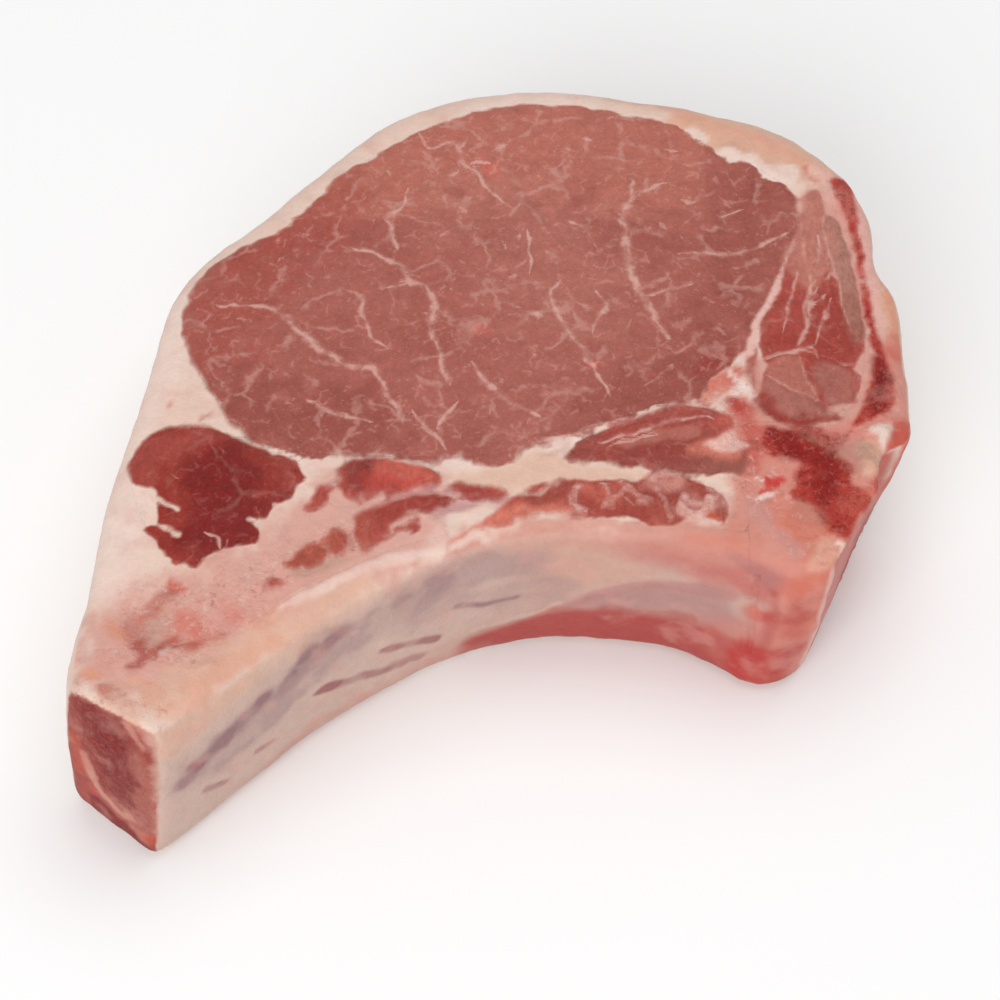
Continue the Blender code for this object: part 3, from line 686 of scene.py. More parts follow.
# marks in the fat, the gristle and the skins over the bones: colour, half width (or "area" for a filled
# outline), softness, strength and line
marks = {
    "face": [                    # the two cut faces, seen from above
        # gristle round the backbone
        ("gristle", "area", 1.4, 0.95, [(36.4, 19), (38, 24), (42, 21), (44, 16), (49, 14), (54, 15),
         (57.6, 20), (59, 28), (58.4, 40), (56.6, 54), (55, 64), (60, 74), (72, 70), (72, -18),
         (38, -20), (35.4, -8), (35.6, 0), (36, 4), (36.6, 12)]),
        ("ridge", "area", 1.6, 0.9, [(-6, -6), (0, -5.4), (10, -4), (20, -5.2), (30, -5.6), (37, -6),
         (38, -14), (-4, -14)]),
        ("salmon", "area", 1, 0.8, [(32, 22.6), (36, 24.8), (39, 26), (38.4, 23), (36.6, 21),
         (32, 19)]),
        ("coral", 0.6, 1.4, 0.6, [(34, 22.4), (36, 23.6), (38, 25)]),
        ("wallRed", 0.3, 0.7, 0.85, [(36.4, 19.2), (37.2, 19.6), (37.9, 18.8), (38, 17.4)]),
        ("wallRed", 0.2, 0.6, 0.8, [(31.7, 19.4), (32.7, 18.8), (33.9, 17.8)]),
        ("leanRed", 0.8, 1, 0.9, [(40.7, 29.3), (40.8, 27.3), (41.1, 24.8), (41.7, 22.4), (42, 20)]),
        ("leanRed", 0.5, 0.8, 0.7, [(43.1, 22.8), (43.3, 20.8), (42.6, 19)]),
        ("white", 0.5, 1.2, 0.8, [(37.7, 21.4), (39, 21.8), (40.2, 20.8), (41.3, 19.4)]),
        ("white", 0.15, 0.5, 0.8, [(37, 24.6), (39, 22), (41.6, 20.6)]),
        ("darkDeep", 0.7, 1.2, 0.75, [(42.3, 19.2), (43.8, 17.4), (45.6, 16), (47.8, 15.2)]),
        ("marrow", 0.8, 2.4, 0.6, [(38.4, 17), (40.6, 12), (39.6, 7)]),
        ("blush", 0.5, 0.8, 0.85, [(55.4, 65), (56.2, 61), (57.4, 56), (58.6, 50), (59.3, 44)]),
        ("blush", 0.2, 0.5, 0.85, [(59.3, 44), (59.7, 36), (59.6, 29), (58.6, 24)]),
        ("blush", 1.1, 1.2, 0.85, [(61.6, 63), (62, 56), (61.9, 47), (62.4, 40), (63.2, 33)]),
        ("peach", "area", 0.8, 0.9, [(62.9, 47), (65, 47), (67, 40), (67, 33), (64.8, 30), (63.4, 35),
         (62.9, 41)]),
        ("orange", "area", 0.8, 0.6, [(63.6, 43), (65, 42), (65.6, 35), (64.4, 32), (63.8, 36)]),
        ("coral", 0.7, 2, 0.6, [(64.6, 32.6), (64.4, 30)]),
        ("rose", 1, 3, 0.55, [(66, 24), (66, 16)]),
        ("ridge", 1.6, 3, 0.8, [(20, -7.4), (28, -7.6), (36, -8)]),
        ("salmon", 1.2, 3, 0.5, [(30, -6.4), (34, -6.8), (39, -8)]),
        ("salmon", 2.5, 5, 0.75, [(46, -4), (48, -8), (48.6, -13)]),
        ("ridge", 1, 3, 0.5, [(38, -2), (41, -7), (45, -12)]),
        ("lilac", 0.3, 1.8, 0.4, [(40.6, 0), (41, -3.4), (42.8, -6.4), (45.4, -9.4)]),
        ("peach", 1, 2.4, 0.6, [(50.6, -9), (49.6, -13)]),
        ("white", 0.3, 0.5, 0.75, [(52.2, -8.2), (53, -8.6), (52.5, -9.8)]),
        ("blood", 0.6, 0.9, 0.85, [(42.2, 3.8), (43, 3.2), (43.6, 3.6)]),
        ("blood", 0.4, 0.8, 0.7, [(41.4, 1.4), (42, 2.6)]),
        # painted highlights: the next two thin white lines are glints of light on the wet surface
        ("white", 0.1, 0.5, 0.75, [(40.4, 0.2), (41.6, 1), (42.6, 1)]),
        ("white", 0.1, 0.4, 0.75, [(40.2, 4.2), (41.4, 3.8)]),
        ("cream", "area", 0.4, 0.95, [(58.6, 13.2), (60, 15), (62.2, 14.8), (62.6, 12), (61.2, 10.2),
         (60.2, 9.6), (59.9, 11.8)]),
        ("peach", "area", 0.6, 0.9, [(55.8, 9.6), (58, 11.4), (60.4, 10), (61.2, 8), (60.2, 6),
         (58, 4.6), (57, 5), (57, 7.6)]),
        ("sawnRed", 0.8, 1.6, 0.85, [(64.6, 14.6), (63.4, 11), (61.6, 6.4), (59.4, 2.6)]),
        # fat at the top right
        ("peach", "area", 2, 0.9, [(28, 84), (36, 82), (46, 78), (56, 70), (55, 64), (48, 68),
         (40, 74), (32, 80)]),
        ("orange", 1.6, 3, 0.55, [(32, 79), (36, 77.4), (41, 74.6), (46, 71.6), (50, 70)]),
        ("peach", 1.6, 2, 0.8, [(33, 78), (39.5, 74.6), (45, 71.4), (49, 69.4)]),
        ("buff", 1, 2, 0.7, [(20, 87), (32, 84.6), (42, 80.8), (50, 76.5), (57, 69.5)]),
        ("cream", "area", 0.4, 0.85, [(36.6, 71.4), (37.8, 73.4), (40.2, 72.6), (41.2, 71),
         (37.6, 70)]),
        ("cream", "area", 0.5, 0.85, [(41.2, 70.4), (43, 72.4), (45.6, 70), (50.4, 69.6), (51.2, 66),
         (49.4, 64), (46.4, 65), (44, 67)]),
        ("white", 0.5, 1, 0.7, [(33, 77.4), (34.6, 75.6)]),
        ("coral", 0.25, 0.5, 0.9, [(52.1, 69.4), (52.7, 67.8), (53.8, 66.2)]),
        ("blush", 1, 2, 0.7, [(54, 68.4), (56.6, 67)]),
        # the pink connective tissue over the rib
        ("rose", 5.5, 8, 0.75, [(-55, -26), (-46, -22), (-36, -14), (-26, -6), (-17, -3)]),
        ("fatPink", 3, 5, 0.6, [(-56, -31), (-46, -30), (-36, -22), (-26, -14)]),
        ("tan", "area", 1.4, 0.55, [(-53.4, -19.6), (-51, -19), (-50, -22.6), (-51.4, -25.6),
         (-53.4, -27), (-54.4, -24)]),
        ("rust", 0.4, 1.8, 0.5, [(-50, -16), (-53.3, -18.8), (-55, -21.4), (-56, -23.5),
         (-54.6, -25.4)]),
        ("leanRed", 0.3, 1.2, 0.75, [(-54.4, -26.4), (-53.7, -28.4), (-54.4, -29.6), (-55.8, -30.4)]),
        ("rust", 0.4, 1.2, 0.8, [(-51.9, -27.4), (-50.7, -26.1), (-49.5, -25.4), (-48, -25.8),
         (-46.4, -26.1)]),
        ("coral", 0.6, 3, 0.4, [(-48.4, -23), (-45.4, -24), (-42.6, -24.6)]),
        # painted highlight: the next small white speck is a glint of light on the wet tissue
        ("white", 0.1, 0.6, 0.5, [(-50.8, -27.4), (-50, -26.4)]),
        ("coral", 0.2, 0.6, 0.75, [(-50.8, -15.2), (-48.6, -16.4)]),
        ("coral", 0.4, 2.4, 0.45, [(-48, -20.8), (-46, -21.9), (-47, -23.3)]),
        ("coral", "area", 1.6, 0.45, [(-42.6, -18.4), (-40.5, -19), (-38.6, -20.4), (-39.5, -21.9),
         (-42, -20.8)]),
        ("rust", 0.2, 0.8, 0.7, [(-45.6, -30), (-44.2, -29.3), (-43, -29)]),
        ("salmon", "area", 1, 0.8, [(-53, -36.4), (-53, -34), (-52, -33.3), (-50.2, -33.9),
         (-50, -35.8), (-51.4, -37.4)]),
        ("coral", 0.3, 0.8, 0.6, [(-52.8, -34.4), (-52.4, -35.6)]),
        ("orange", "area", 0.9, 0.8, [(-60, -22.6), (-58.7, -21.7), (-57.2, -24), (-56.6, -25.5),
         (-58.9, -24.4)]),
        ("orange", "area", 0.9, 0.75, [(-63.2, -31.4), (-61.2, -30.5), (-59.6, -32.1), (-61.3, -33)]),
        ("orange", 0.5, 1.2, 0.6, [(-54.6, -33.1), (-53.2, -33.7)]),
        ("leanRed", 0.5, 1.2, 0.55, [(-59, -34.6), (-57, -35.6), (-55, -36.8)]),
        ("salmon", 0.5, 1.4, 0.75, [(-36.3, -22.6), (-34.6, -21.1), (-32.7, -19.5)]),
        ("tan", 0.4, 1, 0.8, [(-31, -13.2), (-27, -12.2), (-24.6, -11.2)]),
        ("mauve", 0.3, 1, 0.75, [(-8.7, -1.7), (-6.4, -1.4), (-4.3, -1.2)]),
        ("lilac", 0.5, 1.4, 0.7, [(-10, -2), (-5, -0.6), (0.4, 0.2)]),
        ("salmon", 0.3, 0.7, 0.8, [(-7.9, -8.1), (-6.8, -7.2), (-5, -6.4), (-3.4, -5.3), (-2.5, -4.2),
         (-1.7, -3.6)]),
        ("dark", 0.2, 0.5, 0.6, [(6.6, 8.2), (8.4, 9), (9.8, 9.6), (10.6, 10.6)]),
        ("coral", 0.1, 0.5, 0.55, [(-37.4, 11), (-34, 10), (-31.6, 9.4), (-29.6, 8)]),
        # the rib's pale ridge along the front
        ("buff", 1.6, 4, 0.75, [(-58, -40), (-44, -31), (-32, -23), (-22, -16)]),
        ("orange", 0.6, 2.4, 0.3, [(-49, -38), (-42, -31), (-34, -25)]),
        ("cream", 0.2, 1, 0.7, [(-33, -19.6), (-24, -14.4), (-16, -10.6), (-8.6, -8.6), (-3, -6)]),
        ("ridge", 0.4, 0.9, 0.75, [(4, -4.6), (12, -3.6), (20, -4.2), (29, -4.8), (35, -5.8)]),
        # the fat's own spots
        ("coral", 0.4, 0.7, 0.7, [(-53.1, 18.5), (-52.9, 18.7)]),
        ("rust", 0.1, 0.5, 0.5, [(-48, 15.4), (-46, 16.2)]),
        ("cream", 2.5, 4, 0.6, [(-62, -14), (-60, 4), (-57, 22), (-54, 38)]),
        ("cream", 0.6, 1.6, 0.6, [(-30, 7), (-24, 7.4), (-6, 6.6), (4, 8), (12, 12)]),
        ("buff", "area", 1.2, 0.7, [(-10, 5), (-2, 6), (4, 9), (10, 8), (14, 6), (24, 5), (20, 3.6),
         (8, 3.4), (0, 1), (-6, 3)]),
        ("rose", "area", 0.8, 0.8, [(46, 47), (50, 60), (53, 65), (58, 58), (60, 44), (60, 28),
         (58, 17), (50, 13), (41, 17), (41.6, 27), (44, 30), (44, 38)]),
        ("blush", 0.8, 0.8, 0.9, [(49.5, 53.5), (47, 47.6), (45.2, 42.1), (42.8, 37), (41.6, 33),
         (39.8, 29.3)]),
    ],
    "front": [                   # the rib's front wall: across, then up
        ("wallPale", "area", 4, 0.85, [(-60, -4), (-60, 40), (-14, 40), (0, 30), (-6, 10), (-20, -4)]),
        ("wallTan", "area", 3, 0.8, [(0, 34), (4, 24), (8, 16), (16, 18), (26, 23), (22, 28),
         (14, 32)]),
        ("wallPink", "area", 3, 0.85, [(12, 33), (20, 29), (28, 26), (34, 24), (44, 26), (48, 36),
         (30, 38), (16, 38)]),
        ("ridge", 1, 4, 0.6, [(-8, 33), (6, 33), (20, 33), (34, 33)]),
        ("buff", 1.5, 5, 0.8, [(-58, 31), (-46, 32), (-30, 33), (-14, 34)]),
        ("blueGrey", 2, 5, 0.75, [(-45, 19), (-34, 22), (-22, 26), (-10, 27.4), (4, 27)]),
        ("blueGrey", 1, 5, 0.5, [(-12, 20), (0, 18), (8, 17)]),
        ("purple", 0.6, 2.6, 0.35, [(-45.4, 20), (-41.2, 21.3), (-36.4, 24), (-32.6, 24.1),
         (-28.8, 26.7), (-24.1, 28.2)]),
        ("purple", 0.3, 1.8, 0.65, [(-43.6, 20.6), (-40.6, 21.6)]),
        ("purple", 0.3, 1.8, 0.65, [(-38.6, 23), (-36, 24)]),
        ("purple", 0.2, 1.5, 0.75, [(-33.4, 24), (-32, 25)]),
        ("purple", 0.3, 1.5, 0.7, [(-26.6, 27.2), (-24.6, 28)]),
        ("purple", 0.5, 3, 0.35, [(-14, 27), (-9.4, 27.6)]),
        ("plum", 0.3, 0.9, 0.75, [(-18.3, 16.7), (-14, 14), (-10.3, 11.5)]),
        ("plum", 0.8, 0.9, 0.85, [(-28, 15.4), (-26.4, 14)]),
        ("plum", 0.3, 1.2, 0.65, [(-25.3, 13.1), (-20, 10.5), (-15.6, 7.9)]),
        ("purple", 0.2, 1, 0.75, [(-6.8, 18.9), (-4, 17.8), (-1.6, 17.1), (2.6, 17.2)]),
        ("plum", 0.2, 1.2, 0.75, [(-46.6, 20.7), (-45.8, 19)]),
        ("plum", 0.3, 0.9, 0.65, [(-45.8, 11.4), (-43, 8.8)]),
        ("plum", 0.2, 0.9, 0.55, [(-37.5, 10.6), (-36, 10)]),
        ("wallRed", "area", 2, 1, [(-6, 6), (2, 9.6), (9, 12.4), (17, 13.4), (25, 12.6), (33, 13.4),
         (41, 11), (44, -4), (-4, -4)]),
        ("wallPink", "area", 3, 0.6, [(33, 15), (40, 18), (44, 10), (42, 2), (35, 6)]),
        ("wallPale", 0.1, 1, 0.6, [(-4, 9.6), (4, 11.6), (9.6, 14.4)]),
        ("mauve", "area", 2.4, 0.5, [(11, 13), (18, 18), (27, 22), (35, 23.4), (37, 19), (31, 14.6),
         (20, 12.4)]),
        ("lens", "area", 1.6, 0.8, [(12.8, 15), (18, 18.2), (26.5, 21), (33, 22), (36.4, 21),
         (35, 17.4), (30.7, 15.6), (24.9, 13.4), (19, 13.2)]),
        ("mauve", 0.2, 1.6, 0.5, [(11, 14), (16.8, 17.3), (20.7, 19.4), (26.5, 21.5), (32.3, 22.7),
         (36.4, 23.4)]),
        ("wallRed", 0.3, 1.6, 0.5, [(17, 12.6), (24.9, 12.4), (31, 14)]),
        ("mauve", 0.3, 2.2, 0.65, [(36.4, 33), (40.5, 31), (43, 27), (42.8, 21), (41.5, 15), (40, 9)]),
        ("coral", 1.6, 3.5, 0.75, [(42.5, 20), (43, 12), (43.6, 4)]),
        ("wallRed", 0.3, 1.6, 0.8, [(43, 27), (43.2, 21), (42.4, 15), (41.4, 9)]),
        ("salmon", "area", 2, 0.9, [(44.4, 34), (45, 22), (43.6, 10), (44, 0), (58, 0), (58, 34)]),
        ("coral", 1.5, 4, 0.55, [(47.6, 26), (47, 16), (46, 6)]),
        ("wallRed", 1, 4, 0.6, [(47, 24), (46.6, 14), (45, 5)]),
        ("blush", 0.2, 1, 0.7, [(51.6, 32), (51.2, 20), (50, 8)]),
        ("wallRed", 2, 5, 0.8, [(41.5, 8), (40, 3)]),
        ("blood", 1.2, 5, 0.38, [(41, 8), (40, 3)]),
        ("purple", 0.4, 1.8, 0.55, [(-48.2, 18.2), (-46.8, 19)]),
        ("purple", 0.2, 1.2, 0.6, [(-30.4, 27), (-29, 28)]),
        ("plum", 0.3, 1.2, 0.55, [(-17, 10), (-13, 8)]),
        ("purple", 0.2, 1.2, 0.55, [(-20, 28.4), (-18.6, 28.8)]),
        ("rose", 1, 6, 0.6, [(-8, 2), (-24, 2), (-44, 0)]),
    ],
    "end": [                     # the sawn rib end: across from the outer corner, then up
        ("endPale", "area", 1.6, 0.35, [(8, 24), (14, 26), (16, 8), (6, 7), (6, 12)]),
        ("endDark", 1.7, 3.6, 0.8, [(5.2, 32), (6.1, 28.3), (7.4, 24.5), (8.5, 20), (8.8, 15)]),
        ("endDark", 0.4, 1.2, 0.75, [(8.6, 33), (9.8, 31.4)]),
        ("endPale", 0.2, 0.9, 0.75, [(10.4, 32.2), (11.8, 30.5), (13.3, 29)]),
        ("endPale", 0.5, 0.9, 0.9, [(1.6, 18.6), (2.8, 13.7), (4.1, 10.5), (5.6, 9.1), (7.5, 7.8),
         (10.4, 8.4)]),
        ("leanRed", "area", 0.8, 0.75, [(0, 9), (3, 9.4), (5, 7.4), (5, 4), (0, 4)]),
        ("ember", 0.5, 0.8, 0.6, [(2.2, 10), (2.9, 9)]),
        ("ember", 0.4, 1.2, 0.4, [(0.2, 22), (0.4, 16), (0.2, 12)]),
        ("clot", 1.7, 1.4, 0.85, [(3.6, 4.6), (6.2, 3.6), (9, 2.8), (11.4, 2.2)]),
        ("ember", 0.9, 1.2, 0.55, [(12.6, 5.4), (14.6, 6), (17, 6)]),
        ("endPale", "area", 1, 0.7, [(-1, 36), (2, 33.2), (5, 33.4), (8, 33), (12, 32), (15, 30),
         (16, 36)]),
        ("wallTan", "area", 1.1, 1, [(14.2, 36), (14.6, 32), (15.3, 26), (15.6, 14), (15, 9),
         (16.6, 7.6), (17.4, 4), (14, 1.4), (14, -2), (22, -2), (22, 36)]),
    ],
    "side": [                    # the sawn side of the backbone: across from the back corner, then up
        ("sawnRed", "area", 2, 0.75, [(11, 28), (15, 31), (20, 27), (22, 15), (19, 5), (13, 4),
         (10, 14)]),
        ("ember", 1.5, 2, 0.55, [(4, 32), (5, 16), (6, 0)]),
        ("blush", 0.2, 0.9, 0.9, [(29.2, 33), (29.4, 16), (29.2, 2)]),
    ],
}

# sponge of the sawn bones: softness, strength and outline
sponges = {
    "face": (0.6, 1, [(55.9, 66.2), (59.4, 66.8), (60.2, 63), (60.2, 58), (60.5, 53), (60.7, 47),
     (60.9, 42), (61.3, 37), (62, 32), (62.9, 27), (63.4, 21), (62, 17), (59.5, 15.6), (56.5, 14.3),
     (54, 12.8), (50, 14.2), (46, 13.4), (43, 14.6), (41.4, 11), (42.8, 8.2), (45, 8.5), (47.6, 7),
     (46, 4), (46.4, 0.5), (49, -1.5), (49.4, -4), (51.2, -6), (53.6, -7.2), (54.8, -6), (56.4, -3),
     (58, 0.5), (55.2, 3), (55.6, 6), (53.8, 8.8), (54.8, 11.2), (57, 16), (58.4, 20), (59.9, 24),
     (60.3, 28), (60.2, 34), (59.9, 40), (59.7, 46), (59.2, 51), (58.2, 57), (56.9, 62)]),
    "end": (1.2, 0.55, [(0.5, 33), (5, 31), (10, 30.4), (13.6, 28), (14.6, 16), (14, 8), (9, 9),
     (5, 12), (1.6, 18)]),
    "side": (2, 0.9, [(10, 29), (15, 32), (21, 28), (23, 15), (20, 4), (13, 3), (9, 14)]),
}
spongeMarks = [
    ("marrowDeep", 0.8, 2.4, 0.75, [(46, 10), (50, 8.6), (51.6, 4), (50.4, 1)]),
    ("marrowDeep", 0.6, 1.8, 0.8, [(60, 19), (61.4, 23), (61.4, 27)]),
    ("marrowDeep", 0.5, 1.6, 0.6, [(44, 12.4), (48, 12.6)]),
    ("endDark", 0.2, 0.9, 0.7, [(60.4, 21.6), (61.6, 24.4)]),
    ("slate", 0.8, 1.4, 0.45, [(48.6, 12.4), (49, 12)]),
    ("slate", 1, 2, 0.5, [(54, 9.5), (57, 8.5), (56.4, 6.4)]),
    ("coral", 0.6, 2, 0.5, [(55, -1), (57.6, 1)]),
    ("marrowPale", 1, 1.6, 0.55, [(58.6, 63), (59, 59)]),
    ("coral", 0.3, 0.8, 0.6, [(59.9, 47), (60.3, 41)]),
    ("blush", 0.3, 0.5, 0.6, [(60, 44.4), (61, 44.2)]),
    ("marrowPale", 0.8, 2, 0.5, [(52, 12), (55, 14)]),
    ("slate", 0.8, 2, 0.35, [(47, -1), (49, -3)]),
]

# tissue torn by the saw and streaked with red
rawZones = {
    "face": [
        (3.5, 4, 0.95, [(-53, -20), (-46, -21), (-41, -18)]), (1.2, 3, 0.85, [(-56, -28), (-47, -27)]),
        (1.8, 3, 0.9, [(-38, -14), (-30, -10), (-24, -6)]),
        (1, 2, 0.95, [(-63, -34), (-57, -36), (-51, -39)]),
        (3.4, 3, 0.95, [(38.6, 21), (39.6, 12), (41, 4)]), (1, 2.5, 0.7, [(33, 19), (38, 21)]),
        (2.6, 3, 0.6, [(43, 0), (46, -5), (50, -11)]), (1.5, 3, 0.6, [(57, 2), (62, 20), (64, 24)]),
        (0.8, 2, 0.5, [(62, 60), (62, 45), (63, 34)]), (1, 2, 0.7, [(43, 16), (48, 15), (53, 15)]),
    ],
    "end": [
        ("area", 1.6, 0.3, [(0, 34), (14, 34), (15, 6), (8, 6), (0, 16)]),
    ],
}

# thin skins and folds that stand up from the face: height, half width, softness, paleness and line
folds = [
    (0.4, 0.15, 0.7, 0.75, [(12.7, 2.8), (11.5, 1.2), (11.5, -1), (13.2, -2.1)]),
    (0.35, 0.1, 0.6, 0.55, [(16.3, 2.6), (17.2, 1.2), (16.6, -0.5), (15.8, -1.4)]),
    (0.4, 0.15, 0.6, 0.6, [(18.8, 3.6), (19.8, 2.9), (19.2, 1.2), (17.6, 0.2), (17.2, -1)]),
    (0.4, 0.15, 0.6, 0.7, [(19.8, 2.9), (21.9, 1.2), (23.4, 0.2), (21.9, 0)]),
    (0.35, 0.1, 0.6, 0.65, [(24, 4.3), (26, 5.3), (27.9, 4.8), (29.4, 3.6)]),
    (0.35, 0.1, 0.6, 0.45, [(24.3, 2.4), (25.4, 0.5), (26.1, -1.4), (26.7, -2.9)]),
    (0.5, 0.3, 0.7, 0.85, [(28.8, 1.2), (28.5, -1), (29.2, -2.4), (31.1, -2.9), (32.4, -1.4),
     (32.8, 0.5)]),
    (0.3, 0.2, 0.6, 0.75, [(29.7, -0.5), (31.2, -0.7)]),
    (0.4, 0.15, 0.6, 0.6, [(32.9, 2.4), (34.4, 1), (35.3, -1)]),
    (0.3, 0.1, 0.5, 0.55, [(6.3, 1.9), (8.2, 2.4), (9.4, 3.4)]),
    (0.35, 0.2, 0.6, 0.7, [(-12.5, -2.9), (-10.1, -3.8), (-8.3, -6.1), (-8.3, -8.5)]),
    (0.3, 0.3, 1.4, 0.35, [(-34, -20), (-24, -14), (-14, -9.6)]),
    (-0.45, 0.1, 0.5, 0, [(35.7, -1.7), (36, -2.4), (36.8, -2.7)]),
    (-0.35, 0.15, 0.5, 0, [(52.1, 69.4), (52.7, 67.8), (53.8, 66.2)]),
    (-0.35, 0.3, 0.8, 0, [(40.4, 25), (42, 20), (44, 17)]),
    (-0.4, 0.1, 0.5, 0, [(59, 24), (57.1, 20.8), (55.7, 18.4), (53.6, 16)]),
    (0.3, 0.15, 0.6, 0.6, [(7.4, 11.4), (11.8, 12), (15, 14), (19.4, 14.8), (24, 17.2), (28, 18.4)]),
    (0.7, 1, 1.6, 0, [(60.4, 13), (60.8, 11.6)]),
    (0.8, 1.2, 1.8, 0, [(58.4, 8), (59, 7)]),
    (0.6, 1.2, 2.2, 0, [(-17, 6), (-12.6, 4.6)]),
    (-0.5, 1, 3, 0, [(-54, -21), (-50, -24)]),
    (0.35, 0.6, 1.4, 0, [(39, 73), (46, 68)]),
]

# what most pieces have in common; an area without an outline follows the rim of the CAD node
plainPiece = {
    "voxel": 0.4, "colour": "rust", "deep": "leanRim", "flecks": 0.5, "inset": 0.0,
    "areas": [], "patches": [], "veins": [], "gaps": [], "ragged": [], "feather": [],
}

fatBody = {
    "name": "fatBody", "voxel": 0.75,
    "areas": [
        [(-32, -12), (-30.8, -10), (-29.4, -8.8), (-28, -8.8), (-27, -10.4), (-28.8, -12)],
        [(-27, -6.8), (-25.7, -5.9), (-24, -6.4), (-23, -7.9), (-23.6, -9.4), (-24.8, -10.4),
         (-26.6, -9.8), (-26.3, -8.3)],
        [(-36.2, -14.8), (-35, -14.2), (-33.8, -15), (-34.6, -16)],
        [(-49.8, -10.8), (-50.6, -11.4), (-49.8, -12.2), (-48.8, -11.4)],
    ],
    "ragged": [(0.8, 2, 4, [(-34, -14), (-24, -7)])],
    "feather": [(3, 4, 1, [(-36, -14), (-24, -7)])],
}

